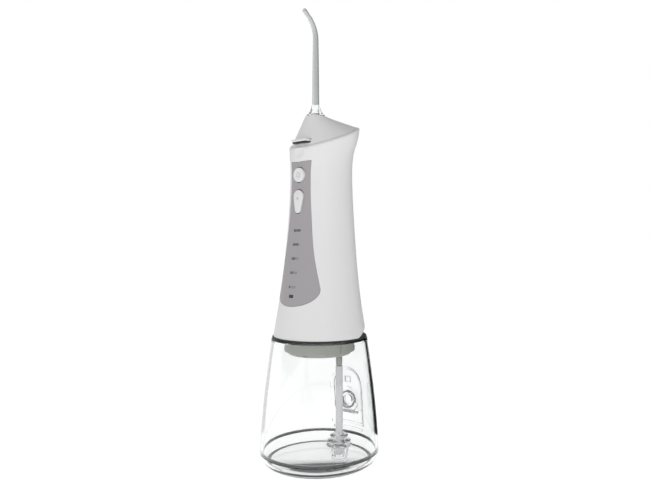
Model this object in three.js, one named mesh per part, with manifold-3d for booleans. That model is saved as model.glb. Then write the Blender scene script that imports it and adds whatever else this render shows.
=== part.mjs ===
// Cordless water flosser: a clear screw-off tank under a tapering handle with a swivelling nozzle.
// Millimetres, +Z up. The tank's axis is the Z axis, its foot stands on z = 0 and the buttons face -Y.
import * as THREE from 'three';
import { mergeVertices } from 'three/addons/utils/BufferGeometryUtils.js';
import Module from 'manifold-3d';

const wasm = await Module();
wasm.setup();

// ---------------------------------------------------------------- driving dimensions
const GAP = 0.3; // air between neighbouring pieces
const ROUND_LARGE = 32; // facets round the casing
const ROUND_MEDIUM = 16; // facets round collars, motor and battery
const ROUND_SMALL = 10; // facets round pins, screws and hoses

const TANK = {
  radius: 37.0, // widest, near the foot
  topRadius: 30.0,
  height: 78.0, // top of the shoulder
  taperStart: 10.0, // height where the wall starts to lean in
  taperPower: 1.45, // how late the lean comes
  wall: 1.8,
  split: 7.4, // rim of the welded-on base
  footInset: 6.0, // from the widest part in to the foot's edge
  floor: 2.1, // top of the base's floor
  shoulder: 1.6, // thickness of the flat top
};
const NECK = { radius: 20.8, wall: 1.3, depth: 8.5 };
const WELD_RING = { width: 1.2, height: 0.8, inset: 0.9 };
const GASKET = { thickness: 0.8, step: 0.5 };

const PORT = {
  turn: THREE.MathUtils.degToRad(8), // the filling port sits this far round from straight back
  halfWidth: 11.5,
  bottom: 16.0,
  straightTop: 40.5, // the arch springs from here
  recess: 1.2,
  backing: 1.5,
  rimGrow: 1.2,
  holeHeight: 31.4,
  holeRadius: 6.2,
  bossRadius: 8.6,
  bossDepth: 3.0,
  coverThickness: 0.8,
  coverInset: 0.1,
  coverBottom: 24.8,
  hingeHeight: 22.9,
  hingeInset: 1.05,
  barrelRadius: 1.0,
  barrelHalf: 3.9,
  knuckleWidth: 3.0,
  pinRadius: 0.35,
  plugRadius: 4.6,
  plugWall: 1.1,
  plugDepth: 3.0,
  lipRadius: 5.3,
  lipThickness: 0.6,
  sealRadius: 5.8,
  catchHeight: 45.0,
  catchWidth: 4.0,
  catchTall: 3.3,
  catchDepth: 0.8,
  ledgeHeight: 11.9,
  ledgeThickness: 1.4,
};

// The handle's outside: height above its lower rim, radius, and how far the section's centre leans back.
const CASING = [
  [0.0, TANK.topRadius - 0.9, 0.3],
  [20.6, 25.8, 0.5],
  [40.6, 23.3, 0.95],
  [66.6, 20.9, 1.5],
  [90.6, 19.6, 1.6],
  [104.6, 19.45, 1.6],
  [113.6, 20.2, 1.9],
  [123.6, 21.8, 3.7],
  [134.6, 22.4, 5.0],
];
const CASING_TOP = CASING[CASING.length - 1][0];
const CASING_WALL = 2.2;
const FRAME_CLEARANCE = 0.8; // between the casing's inside and the frame in it
const CREASE = { height: 122.8, slope: 0.41 }; // the tilted line where the cap meets the casing
const CAP = { wall: 2.0, skirt: 2.4, draft: 0.9 };
const SEAT = { height: 136.1, radius: 6.5, forward: 3.5 }; // where the nozzle stands, forward of the axis

const PANEL = { recess: 1.3, thickness: 0.95, inset: 0.1, widest: 17.3 };
const LENS = { height: 25.2, halfWidth: 1.8, halfHeight: 0.9 };
const POWER = { height: 98.6, radius: 4.4, proud: 1.0, travel: 0.5 };
const MODE = { top: 84.6, topRadius: 3.8, bottom: 76.7, bottomRadius: 2.3, proud: 0.8, tilt: 0.055 };
const BUTTON_FLANGE = { grow: 0.8, back: 0.4 };
const BUTTON_CLEARANCE = 0.35;
const RELEASE = { height: 118.2, thickness: 2.0, halfWidth: 6.5, proud: 1.9, reach: 5.6, travel: 1.2 };
const SPRING = { radius: 1.5, wire: 0.3, turns: 4 };
const SCOOP = { height: 112.6, halfWidth: 9.0, halfHeight: 6.0, depth: 0.7 };

const COLLAR = { clearance: 0.55, depth: 11.9, wall: 2.75, floor: 2.2, flange: 2.0 };
const COLLAR_LIFT = 0.2;
const ORING = { height: -6.6, tall: 1.6, groove: 1.2 };
const TRACK = { count: 3, start: 48, width: 2.6, depth: 1.0, rise: 4.4, runTall: 1.8 };

const HOSE = { x: 10.7, y: 6.4, radius: 2.25 };
const STUB = { radius: 2.0, bore: 1.1, bottom: 60.0, top: -4.0 };
const STRAINER = { bottom: 2.7, height: 15.6, radius: 8.0, wall: 0.8 };

const CHASSIS = { base: 2.0, shelf: 25.0, shelfThickness: 2.0 };
const POST = { x: 18.5, width: 4.0, depth: 10.0 };
const RAIL = { clearance: 0.25, width: 3.0, depth: 5.0 };
const MID_PLATE = { thickness: 1.6 };
const TOP_PLATE = { height: 108.6, thickness: 2.0 };

const BOARD = { bottom: 60.0, top: 106.5, sideRoom: 0.8, front: -12.6, thickness: 1.6 };
const SWITCH = { width: 6.0, thickness: 1.2 };
const LIGHT_BOARD = { bottom: 28.6, top: 58.6, sideRoom: 0.79, lead: 0.31, thickness: 1.2 };
const GUIDE = { halfWidth: 3.0, thickness: 0.8, inset: 1.5 };
const BATTERY = { radius: 7.1, length: 50.0, clearance: 0.66 };
const TAB = { thickness: 0.3, halfWidth: 3.0, halfDepth: 4.5 };

const MOTOR = { radius: 8.2, length: 30.0, clearance: 0.7, shaft: 1.0, bore: 1.35, boss: 3.0 };
const GEAR = {
  module: 0.8,
  pinionTeeth: 8,
  wheelTeeth: 24,
  bottom: 20.0,
  face: 4.0,
  backlash: 0.34,
  rootGrow: 0.32, // how much wider than at the pitch line a tooth is on each side at its root
  tipShrink: 0.26,
};
const AXLE = { radius: 1.5, bore: 1.85 };
const CRANK = { throw: 1.5, radius: 1.0 };
const PUMP = { axis: 13.1, bore: 3.35, radius: 5.2, front: -13.0, back: -3.5 };
const PLUNGER = { radius: 3.0, front: -9.5, back: -1.6, groove: 0.8, grooveLength: 1.6 };
const YOKE = { thickness: 3.0, rim: 2.0, neck: 3.0 };
const HEAD_BLOCK = { length: 6.0, halfWidth: 5.5, halfHeight: 6.0, passage: 1.8, port: 1.0 };
const VALVE = { radius: 1.4, thickness: 1.2, offset: 3.6 };
const LINE = { radius: 1.6 };

const SOCKET = { radius: 5.2, bore: 3.3, bottom: 104.6, top: 133.1, boreBottom: 115.6, water: 0.9 };
const EAR = { halfWidth: 12.5, halfDepth: 4.0, thickness: 2.0, screw: 9.6 };
const NOZZLE = {
  plug: 2.95,
  plugBottom: 117.6,
  water: 0.75,
  rim: 5.7,
  rimHeight: 0.8,
  stem: 2.25,
  tip: 1.3,
  flareTop: 144.2,
  bendStart: 184.6,
  bendRadius: 16.0,
  bendAngle: THREE.MathUtils.degToRad(52),
  tail: 3.0,
  grooveHeight: 122.0,
  grooveDepth: 0.7,
  grooveTall: 1.6,
};
const SEAT_RING = { clearance: 0.35, wall: 2.2, tall: 2.7 };

const SCREW = { shaft: 1.0, hole: 1.35, head: 2.0, headTall: 1.2, earLength: 5.0 };
const BASE_SCREWS = [[18, -12], [18, 12], [-18, 12], [-18, -12]];

const CHARGER = { height: 12.6, halfWidth: 7.5, halfHeight: 4.8, recess: 1.3, thickness: 1.0 };
const CHARGE_HOLE = { halfWidth: 4.9, halfHeight: 1.8, plugDepth: 1.0 };
const CHARGE_SOCKET = { halfWidth: 4.9, halfHeight: 2.1, depth: 6.5, wall: 0.6 };

const FINISH = {
  clear: { color: 0xeef2f3, roughness: 0.05, metalness: 0.0 },
  casing: { color: 0xdcdcdc, roughness: 0.42, metalness: 0.0 },
  cap: { color: 0xd0d0d0, roughness: 0.42, metalness: 0.0 },
  panel: { color: 0x9f9b9e, roughness: 0.4, metalness: 0.0 },
  button: { color: 0xdedfdf, roughness: 0.35, metalness: 0.0 },
  collar: { color: 0x96988f, roughness: 0.5, metalness: 0.0 },
  darkRubber: { color: 0x2f3133, roughness: 0.7, metalness: 0.0 },
  lens: { color: 0x1c1c1f, roughness: 0.15, metalness: 0.0 },
  hose: { color: 0xcdced0, roughness: 0.45, metalness: 0.0 },
  frame: { color: 0xb9bcc0, roughness: 0.6, metalness: 0.0 },
  board: { color: 0x1f5a3a, roughness: 0.5, metalness: 0.0 },
  black: { color: 0x232325, roughness: 0.5, metalness: 0.0 },
  steel: { color: 0xb4b7ba, roughness: 0.3, metalness: 1.0 },
  gear: { color: 0xe9e4d6, roughness: 0.45, metalness: 0.0 },
  cell: { color: 0x2c6fa8, roughness: 0.4, metalness: 0.0 },
};

const HANDLE_BASE = TANK.height + GAP + GASKET.thickness + GAP;

// ---------------------------------------------------------------- solids
// Turns a closed geometry into a solid, dropping collapsed faces and turning the faces outwards.
function solidOf(geometry) {
  const bare = geometry.clone();
  bare.deleteAttribute('normal');
  bare.deleteAttribute('uv');
  const merged = mergeVertices(bare, 1e-4);
  const places = merged.getAttribute('position');
  const corners = [new THREE.Vector3(), new THREE.Vector3(), new THREE.Vector3()];
  const faces = [];
  let volume = 0;
  for (let i = 0; i < merged.index.count; i += 3) {
    const face = [0, 1, 2].map((k) => merged.index.getX(i + k));
    if (new Set(face).size < 3) continue;
    faces.push(face);
    face.forEach((vertex, k) => corners[k].fromBufferAttribute(places, vertex));
    volume += corners[0].dot(corners[1].clone().cross(corners[2]));
  }
  if (volume < 0) faces.forEach((face) => face.reverse());
  return new wasm.Manifold(
    new wasm.Mesh({
      numProp: 3,
      vertProperties: new Float32Array(places.array),
      triVerts: new Uint32Array(faces.flat()),
    }),
  );
}

function geometryOf(solid) {
  const mesh = solid.getMesh();
  const geometry = new THREE.BufferGeometry();
  geometry.setAttribute('position', new THREE.BufferAttribute(new Float32Array(mesh.vertProperties), 3));
  geometry.setIndex(new THREE.BufferAttribute(new Uint32Array(mesh.triVerts), 1));
  geometry.computeVertexNormals();
  return geometry;
}

// A solid of revolution about Z from [radius, height] pairs.
function revolve(profile, facets) {
  const outline = profile.map(([radius, height]) => new THREE.Vector2(radius, height));
  return solidOf(new THREE.LatheGeometry(outline, facets).rotateX(Math.PI / 2));
}

// A ring of revolution between two radii and two heights.
function ring(inner, outer, low, high, facets) {
  return revolve([[inner, low], [outer, low], [outer, high], [inner, high], [inner, low]], facets);
}

function disc(radius, low, high, facets, x = 0, y = 0) {
  return revolve([[0, low], [radius, low], [radius, high], [0, high]], facets).translate([x, y, 0]);
}

// A cylinder lying along Y, between two y values.
function rod(radius, front, back, facets, x = 0, z = 0) {
  const geometry = new THREE.CylinderGeometry(radius, radius, back - front, facets);
  return solidOf(geometry.translate(x, (front + back) / 2, z));
}

// A cylinder lying along X, between two x values.
function bar(radius, left, right, facets, y, z) {
  const geometry = new THREE.CylinderGeometry(radius, radius, right - left, facets);
  return solidOf(geometry.rotateZ(Math.PI / 2).translate((left + right) / 2, y, z));
}

function block(low, high) {
  const size = high.map((value, i) => value - low[i]);
  const middle = high.map((value, i) => (value + low[i]) / 2);
  return solidOf(new THREE.BoxGeometry(...size).translate(...middle));
}

// A shape drawn in X and Z, pushed along Y between two y values.
function prism(shape, front, back, curveSegments = 12) {
  const geometry = new THREE.ExtrudeGeometry(shape, {
    depth: back - front,
    bevelEnabled: false,
    curveSegments,
  });
  return solidOf(geometry.rotateX(Math.PI / 2).translate(0, back, 0));
}

// A round hose along points, with flat ends.
function sweep(points, radius, sides, steps) {
  const section = new THREE.Shape();
  for (let i = 0; i < sides; i += 1) {
    const angle = (2 * Math.PI * i) / sides;
    const place = [radius * Math.cos(angle), radius * Math.sin(angle)];
    if (i === 0) section.moveTo(...place);
    else section.lineTo(...place);
  }
  section.closePath();
  const path = new THREE.CatmullRomCurve3(points.map((point) => new THREE.Vector3(...point)));
  return solidOf(new THREE.ExtrudeGeometry(section, { extrudePath: path, steps, bevelEnabled: false }));
}

// Joins rings of points, one after another. A closed loft returns to its first ring and has no ends.
function loft(rings, closed) {
  const count = rings[0].length;
  const points = rings.flat();
  const faces = [];
  const last = closed ? rings.length : rings.length - 1;
  for (let r = 0; r < last; r += 1) {
    const here = r * count;
    const next = ((r + 1) % rings.length) * count;
    for (let i = 0; i < count; i += 1) {
      const j = (i + 1) % count;
      faces.push(here + i, here + j, next + j, here + i, next + j, next + i);
    }
  }
  if (!closed) {
    const ends = [[0, true], [(rings.length - 1) * count, false]];
    for (const [start, flip] of ends) {
      const middle = new THREE.Vector3();
      for (let i = 0; i < count; i += 1) middle.addScaledVector(points[start + i], 1 / count);
      const centre = points.push(middle) - 1;
      for (let i = 0; i < count; i += 1) {
        const pair = [start + i, start + ((i + 1) % count)];
        if (flip) pair.reverse();
        faces.push(pair[0], pair[1], centre);
      }
    }
  }
  const geometry = new THREE.BufferGeometry();
  geometry.setFromPoints(points);
  geometry.setIndex(faces);
  return solidOf(geometry);
}

function circle(radius, height, centreY, facets) {
  const points = [];
  for (let i = 0; i < facets; i += 1) {
    const angle = (2 * Math.PI * i) / facets;
    points.push(new THREE.Vector3(radius * Math.sin(angle), centreY - radius * Math.cos(angle), height));
  }
  return points;
}

function join(...solids) {
  return solids.reduce((whole, solid) => whole.add(solid));
}

function cut(solid, ...tools) {
  return tools.reduce((left, tool) => left.subtract(tool), solid);
}

function place(parent, name, solid, finish, position = [0, 0, 0]) {
  const mesh = new THREE.Mesh(geometryOf(solid), new THREE.MeshStandardMaterial(finish));
  mesh.name = name;
  mesh.position.set(...position);
  parent.add(mesh);
  return mesh;
}

// ---------------------------------------------------------------- tank
function tankRadius(height) {
  const share = Math.max(0, (height - TANK.taperStart) / (TANK.height - TANK.taperStart));
  return TANK.radius - (TANK.radius - TANK.topRadius) * share ** TANK.taperPower;
}

// Points up the tank's wall, pushed inwards by an offset.
function tankWall(offset, low, high, steps) {
  const points = [];
  for (let i = 0; i <= steps; i += 1) {
    const height = low + ((high - low) * i) / steps;
    points.push([tankRadius(height) - offset, height]);
  }
  return points;
}

function tankCore(offset, low, high) {
  return revolve([[0, low], ...tankWall(offset, low, high, 6), [0, high]], ROUND_LARGE);
}

function archShape(grow, bottom) {
  const half = PORT.halfWidth + grow;
  const shape = new THREE.Shape();
  shape.moveTo(-half, bottom);
  shape.lineTo(half, bottom);
  shape.lineTo(half, PORT.straightTop);
  shape.absarc(0, PORT.straightTop, half, 0, Math.PI, false);
  shape.lineTo(-half, bottom);
  return shape;
}

function weldStep() {
  const outer = TANK.radius - WELD_RING.inset;
  return { inner: outer - WELD_RING.width, outer, low: TANK.split + GAP };
}

function portCuts() {
  const top = TANK.height;
  const surface = tankRadius(PORT.hingeHeight);
  const hingeY = surface - PORT.hingeInset;
  const pocketY = tankRadius(PORT.catchHeight) - PORT.recess;
  const outside = block([-50, 0, 1], [50, 60, top]);
  const arch = prism(archShape(0, PORT.bottom), 0, 60).intersect(outside);
  const recess = cut(arch, tankCore(PORT.recess, 0, top));
  const hole = rod(PORT.holeRadius, 20, 60, ROUND_MEDIUM, 0, PORT.holeHeight);
  const half = PORT.barrelHalf + GAP;
  const swing = bar(PORT.barrelRadius + GAP, -half, half, ROUND_SMALL, hingeY, PORT.hingeHeight);
  const wide = PORT.catchWidth / 2 + GAP;
  const tall = PORT.catchTall / 2 + GAP;
  const pocket = block(
    [-wide, pocketY - PORT.catchDepth - GAP, PORT.catchHeight - tall],
    [wide, pocketY + 2, PORT.catchHeight + tall],
  );
  const pinHole = bar(PORT.pinRadius + GAP, -20, 20, ROUND_SMALL, hingeY, PORT.hingeHeight);
  return { recess, hole, swing, pocket, pinHole, hingeY };
}

function tankShell() {
  const weld = weldStep();
  const underShoulder = TANK.height - TANK.shoulder;
  const outside = tankWall(0, TANK.taperStart, TANK.height - 0.6, 7);
  const inside = tankWall(TANK.wall, weld.low + WELD_RING.height + GAP, underShoulder, 5).reverse();
  const innerFoot = TANK.radius - TANK.wall;
  let shell = revolve(
    [
      [weld.outer + GAP, weld.low],
      [TANK.radius, weld.low],
      ...outside,
      [TANK.topRadius - 0.7, TANK.height],
      [NECK.radius, TANK.height],
      [NECK.radius, TANK.height - NECK.depth],
      [NECK.radius + NECK.wall, TANK.height - NECK.depth],
      [NECK.radius + NECK.wall, underShoulder],
      ...inside,
      [innerFoot, weld.low + WELD_RING.height + GAP],
      [weld.outer + GAP, weld.low + WELD_RING.height + GAP],
      [weld.outer + GAP, weld.low],
    ],
    ROUND_LARGE,
  );
  const { recess, hole, swing, pocket, pinHole, hingeY } = portCuts();
  const surface = tankRadius(PORT.holeHeight);
  const backing = prism(archShape(PORT.rimGrow, PORT.bottom - PORT.rimGrow), 0, 60)
    .intersect(tankCore(PORT.recess - 0.05, 1, TANK.height - 1))
    .subtract(tankCore(PORT.recess + PORT.backing, 0, TANK.height));
  const bossBack = surface - PORT.recess;
  const bossFront = bossBack - PORT.bossDepth;
  const boss = rod(PORT.bossRadius, bossFront, bossBack, ROUND_MEDIUM, 0, PORT.holeHeight);
  const ledge = block(
    [-PORT.halfWidth, 20, PORT.ledgeHeight - PORT.ledgeThickness / 2],
    [PORT.halfWidth, 60, PORT.ledgeHeight + PORT.ledgeThickness / 2],
  )
    .intersect(tankCore(PORT.recess, 0, TANK.height))
    .subtract(tankCore(PORT.recess + PORT.backing, 0, TANK.height));
  shell = cut(join(shell, backing, boss, ledge), recess, hole, swing, pocket);
  const near = PORT.barrelHalf + GAP;
  for (const side of [-1, 1]) {
    const ends = [side * near, side * (near + PORT.knuckleWidth)].sort((a, b) => a - b);
    shell = shell.add(bar(PORT.barrelRadius, ends[0], ends[1], ROUND_SMALL, hingeY, PORT.hingeHeight));
  }
  const reach = near + PORT.knuckleWidth;
  return cut(shell, pinHole.intersect(block([-reach, 0, 0], [reach, 60, 60])));
}

function fillCover() {
  const { hingeY } = portCuts();
  const surface = tankRadius(PORT.holeHeight);
  const inner = PORT.coverInset + PORT.coverThickness;
  const outline = join(
    prism(archShape(-GAP, PORT.coverBottom), 0, 60),
    block([-PORT.barrelHalf, 0, PORT.hingeHeight], [PORT.barrelHalf, 60, PORT.coverBottom + 0.5]),
  );
  const plate = outline
    .intersect(tankCore(PORT.coverInset, 1, TANK.height - 1))
    .subtract(tankCore(inner, 0, TANK.height));
  const root = surface - inner + 0.3;
  const end = surface - inner - PORT.plugDepth;
  const plug = join(
    rod(PORT.plugRadius, end, root, ROUND_MEDIUM, 0, PORT.holeHeight),
    rod(PORT.lipRadius, end - PORT.lipThickness, end, ROUND_MEDIUM, 0, PORT.holeHeight),
  );
  const hollowRadius = PORT.plugRadius - PORT.plugWall;
  const hollow = rod(hollowRadius, end - 5, root - 0.8, ROUND_MEDIUM, 0, PORT.holeHeight);
  const half = PORT.barrelHalf;
  const barrel = bar(PORT.barrelRadius, -half, half, ROUND_SMALL, hingeY, PORT.hingeHeight);
  const catchFace = tankRadius(PORT.catchHeight) - PORT.recess;
  const hook = block(
    [-PORT.catchWidth / 2, catchFace - PORT.catchDepth, PORT.catchHeight - PORT.catchTall / 2],
    [PORT.catchWidth / 2, catchFace + 0.6, PORT.catchHeight + PORT.catchTall / 2],
  );
  const pinHole = bar(PORT.pinRadius + GAP, -20, 20, ROUND_SMALL, hingeY, PORT.hingeHeight);
  return cut(join(plate, plug, barrel, hook), hollow, pinHole);
}

function fillPlugSeal() {
  const inner = PORT.coverInset + PORT.coverThickness;
  const low = tankRadius(PORT.holeHeight) - inner - PORT.plugDepth + GAP;
  const cover = tankRadius(PORT.holeHeight + PORT.sealRadius) - inner;
  const high = Math.sqrt(cover ** 2 - PORT.sealRadius ** 2) - GAP;
  return ring(PORT.plugRadius + GAP, PORT.sealRadius, low, high, ROUND_MEDIUM).rotate([-90, 0, 0]);
}

function buildTank() {
  const tank = new THREE.Group();
  tank.rotation.z = PORT.turn;
  const weld = weldStep();
  place(tank, 'tank_shell', tankShell(), FINISH.clear);
  const rimInner = TANK.radius - TANK.wall;
  const foot = TANK.radius - TANK.footInset;
  const base = revolve(
    [
      [0, 0.6],
      [foot - 5, 0.6],
      [foot - 4, 0],
      [foot, 0],
      [TANK.radius - 3.2, 1.2],
      [TANK.radius - 1.2, 3.2],
      [TANK.radius - 0.2, 5.4],
      [TANK.radius, TANK.split],
      [rimInner, TANK.split],
      [rimInner - 0.6, 4.6],
      [rimInner - 2.6, 2.6],
      [rimInner - 5, TANK.floor - 0.2],
      [0, TANK.floor + 0.2],
    ],
    ROUND_LARGE,
  );
  place(tank, 'tank_base', base, FINISH.clear);
  const weldRing = ring(weld.inner, weld.outer, 0, WELD_RING.height, ROUND_LARGE);
  place(tank, 'tank_base_seal', weldRing, FINISH.darkRubber, [0, 0, weld.low]);
  place(tank, 'fill_cover', fillCover(), FINISH.clear);
  place(tank, 'fill_plug_seal', fillPlugSeal(), FINISH.clear, [0, 0, PORT.holeHeight]);
  const pinHalf = PORT.barrelHalf + PORT.knuckleWidth;
  const pin = bar(PORT.pinRadius, -pinHalf, pinHalf, ROUND_SMALL, 0, 0);
  place(tank, 'fill_hinge_pin', pin, FINISH.steel, [0, portCuts().hingeY, PORT.hingeHeight]);
  const gasketOuter = TANK.topRadius - GASKET.step;
  const gasket = ring(NECK.radius + GASKET.step, gasketOuter, 0, GASKET.thickness, ROUND_LARGE);
  place(tank, 'tank_seal', gasket, FINISH.darkRubber, [0, 0, TANK.height + GAP]);
  return tank;
}

// ---------------------------------------------------------------- casing
// Smooth reading of the casing's stations: column 1 is the radius, column 2 the lean.
function casingAt(height, column) {
  const last = CASING.length - 2;
  let i = CASING.findIndex((station, k) => k <= last && height < CASING[k + 1][0]);
  if (i < 0) i = last;
  const slope = (k) => {
    const before = CASING[Math.max(0, k - 1)];
    const after = CASING[Math.min(CASING.length - 1, k + 1)];
    return (after[column] - before[column]) / (after[0] - before[0]);
  };
  const [low, high] = [CASING[i], CASING[i + 1]];
  const span = high[0] - low[0];
  const t = (height - low[0]) / span;
  const bend = t * t * (3 - 2 * t);
  const ease = span * (t * (1 - t) ** 2 * slope(i) - t * t * (1 - t) * slope(i + 1));
  return low[column] + (high[column] - low[column]) * bend + ease;
}

function casingCore(offset, low, high, steps = 10) {
  const from = Math.max(low, 0);
  const to = Math.min(high, CASING_TOP);
  const heights = [];
  if (low < from) heights.push(low);
  for (let i = 0; i <= steps; i += 1) heights.push(from + ((to - from) * i) / steps);
  if (high > to) heights.push(high);
  const rings = heights.map((height) => {
    const within = Math.min(Math.max(height, 0), CASING_TOP);
    return circle(casingAt(within, 1) - offset, height, casingAt(within, 2), ROUND_LARGE);
  });
  return loft(rings, false);
}

// The widest round plate, centred on the leaning section, that fits inside the casing at a height.
function insideRadius(height) {
  return casingAt(height, 1) - CASING_WALL - FRAME_CLEARANCE;
}

function frontFace(height) {
  return casingAt(height, 2) - casingAt(height, 1);
}

function rearFace(height) {
  return casingAt(height, 2) + casingAt(height, 1);
}

// The crease as a ring of points, pushed inwards by an offset and raised by a lift.
function creaseRing(offset, lift) {
  const points = [];
  for (let i = 0; i < ROUND_LARGE; i += 1) {
    const angle = (2 * Math.PI * i) / ROUND_LARGE;
    let height = CREASE.height;
    for (let k = 0; k < 12; k += 1) {
      const y = casingAt(height, 2) - (casingAt(height, 1) - offset) * Math.cos(angle);
      height = CREASE.height + CREASE.slope * y;
    }
    const radius = casingAt(height, 1) - offset;
    points.push(new THREE.Vector3(
      radius * Math.sin(angle),
      casingAt(height, 2) - radius * Math.cos(angle),
      height + lift,
    ));
  }
  return points;
}

function belowCrease() {
  const size = 400;
  const tool = new THREE.BoxGeometry(size, size, size).translate(0, 0, -size / 2);
  tool.rotateX(Math.atan(CREASE.slope)).translate(0, 0, CREASE.height);
  return solidOf(tool);
}

// The front panel's outline, drawn in X and height.
function panelShape(shrink) {
  const side = [
    [8.8, 107.1],
    [8.2, 98.0],
    [8.9, 80.0],
    [11.9, 53.4],
    [PANEL.widest, 29.6],
  ].map(([x, z]) => new THREE.Vector2(x - shrink, z - (z > 100 ? shrink : 0)));
  const edge = new THREE.SplineCurve(side).getPoints(14);
  const corner = new THREE.CubicBezierCurve(
    side[side.length - 1],
    new THREE.Vector2(PANEL.widest + 0.5 - shrink, 23.0 + shrink),
    new THREE.Vector2(10.0, 19.1 + shrink),
    new THREE.Vector2(0, 19.1 + shrink),
  ).getPoints(10);
  const right = [new THREE.Vector2(0, 106.5 - shrink), ...edge, ...corner.slice(1)];
  const left = right.slice(1, -1).reverse().map((point) => new THREE.Vector2(-point.x, point.y));
  return new THREE.Shape([...right, ...left]);
}

function tearShape(grow) {
  const rise = MODE.top - MODE.bottom;
  const lean = Math.asin((MODE.topRadius - MODE.bottomRadius) / rise);
  const shape = new THREE.Shape();
  shape.absarc(0, rise / 2, MODE.topRadius + grow, -lean, Math.PI + lean, false);
  shape.absarc(0, -rise / 2, MODE.bottomRadius + grow, Math.PI + lean, 2 * Math.PI - lean, false);
  return shape;
}

function roundedSlot(halfWidth, halfHeight, height) {
  const radius = Math.min(halfWidth, halfHeight) * 0.6;
  const shape = new THREE.Shape();
  shape.absarc(halfWidth - radius, height + halfHeight - radius, radius, 0, Math.PI / 2, false);
  shape.absarc(radius - halfWidth, height + halfHeight - radius, radius, Math.PI / 2, Math.PI, false);
  shape.absarc(radius - halfWidth, height - halfHeight + radius, radius, Math.PI, 1.5 * Math.PI, false);
  shape.absarc(halfWidth - radius, height - halfHeight + radius, radius, 1.5 * Math.PI, 2 * Math.PI, false);
  return shape;
}

const MODE_HEIGHT = (MODE.top + MODE.bottom) / 2;
const SWITCH_FACE = BOARD.front - SWITCH.thickness;
const FLANGE_BACK = SWITCH_FACE - POWER.travel - 0.2;
const FLANGE_FRONT = FLANGE_BACK - BUTTON_FLANGE.back;

function tiltedTear(grow, front, back) {
  return prism(tearShape(grow), front, back, 8)
    .rotate([THREE.MathUtils.radToDeg(-MODE.tilt), 0, 0])
    .translate([0, 0, MODE_HEIGHT]);
}

function bodyShell() {
  const outside = casingCore(0, 0, CASING_TOP, 12).intersect(belowCrease());
  const inside = casingCore(CASING_WALL, -5, CASING_TOP + 20);
  const panelPocket = cut(prism(panelShape(0), -60, 0), casingCore(PANEL.recess, -5, CASING_TOP + 5));
  const powerHole = rod(POWER.radius + BUTTON_CLEARANCE, -60, 0, ROUND_MEDIUM, 0, POWER.height);
  const flangeRadius = POWER.radius + BUTTON_FLANGE.grow + BUTTON_CLEARANCE;
  const flangePocket = rod(flangeRadius, FLANGE_FRONT - GAP, 0, ROUND_MEDIUM, 0, POWER.height);
  const modeHole = tiltedTear(BUTTON_CLEARANCE, -40, 0);
  const scoop = solidOf(
    new THREE.SphereGeometry(1, 16, 10)
      .scale(SCOOP.halfWidth, SCOOP.depth * 3, SCOOP.halfHeight)
      .translate(0, frontFace(SCOOP.height) - SCOOP.depth * 2, SCOOP.height),
  );
  const hole = roundedSlot(CHARGE_HOLE.halfWidth, CHARGE_HOLE.halfHeight, CHARGER.height);
  const chargeHole = prism(hole, 0, 60, 4);
  const chargeRecess = cut(
    prism(roundedSlot(CHARGER.halfWidth, CHARGER.halfHeight, CHARGER.height), 0, 60, 4),
    casingCore(CHARGER.recess, -5, CASING_TOP + 5),
  );
  const shell = cut(outside, inside, panelPocket, powerHole, flangePocket, modeHole, scoop);
  return cut(shell, chargeHole, chargeRecess);
}

function frontPanel() {
  const sheet = prism(panelShape(GAP), -60, 0)
    .intersect(casingCore(PANEL.inset, 1, CASING_TOP))
    .subtract(casingCore(PANEL.inset + PANEL.thickness, 0, CASING_TOP + 5));
  const powerHole = rod(POWER.radius + BUTTON_CLEARANCE, -60, 0, ROUND_MEDIUM, 0, POWER.height);
  const lensHole = block(
    [-LENS.halfWidth - GAP, -60, LENS.height - LENS.halfHeight - GAP],
    [LENS.halfWidth + GAP, 0, LENS.height + LENS.halfHeight + GAP],
  );
  return cut(sheet, powerHole, tiltedTear(BUTTON_CLEARANCE, -40, 0), lensHole);
}

function headCap() {
  const seat = (radius, height) => circle(radius, height, -SEAT.forward, ROUND_LARGE);
  const bore = SEAT.radius - 0.6;
  const inner = creaseRing(CASING_WALL + GAP, GAP);
  const skirtIn = creaseRing(CASING_WALL + GAP + CAP.wall * 0.7, GAP);
  const lower = (ringPoints, drop) => ringPoints.map((p) => new THREE.Vector3(p.x, p.y, p.z - drop));
  const shell = loft(
    [
      creaseRing(0, GAP),
      seat(SEAT.radius, SEAT.height - 0.05),
      seat(bore, SEAT.height),
      seat(bore, SEAT.height - CAP.wall - 0.8),
      skirtIn,
      lower(creaseRing(CASING_WALL + GAP + CAP.draft + 1, GAP), CAP.skirt),
      lower(creaseRing(CASING_WALL + GAP + CAP.draft, GAP), CAP.skirt),
      inner,
    ],
    true,
  );
  const slot = block(
    [-RELEASE.halfWidth - GAP, -60, RELEASE.height - GAP],
    [RELEASE.halfWidth + GAP, -8, RELEASE.height + RELEASE.thickness + GAP],
  );
  return cut(shell, slot);
}

function capFront(height) {
  const low = creaseRing(0, GAP)[0];
  const share = (height - low.z) / (SEAT.height - low.z);
  return low.y + (-SEAT.forward - SEAT.radius - low.y) * share;
}

function powerButton() {
  const front = frontFace(POWER.height) - POWER.proud;
  const back = FLANGE_BACK - front;
  const flange = POWER.radius + BUTTON_FLANGE.grow;
  const solid = revolve(
    [
      [0, 0.15],
      [POWER.radius * 0.55, 0.2],
      [POWER.radius * 0.85, 0.1],
      [POWER.radius, 0.7],
      [POWER.radius, back - BUTTON_FLANGE.back],
      [flange, back - BUTTON_FLANGE.back],
      [flange, back],
      [0, back],
    ],
    ROUND_MEDIUM,
  );
  return { solid: solid.rotate([-90, 0, 0]), position: [0, front, POWER.height] };
}

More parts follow.
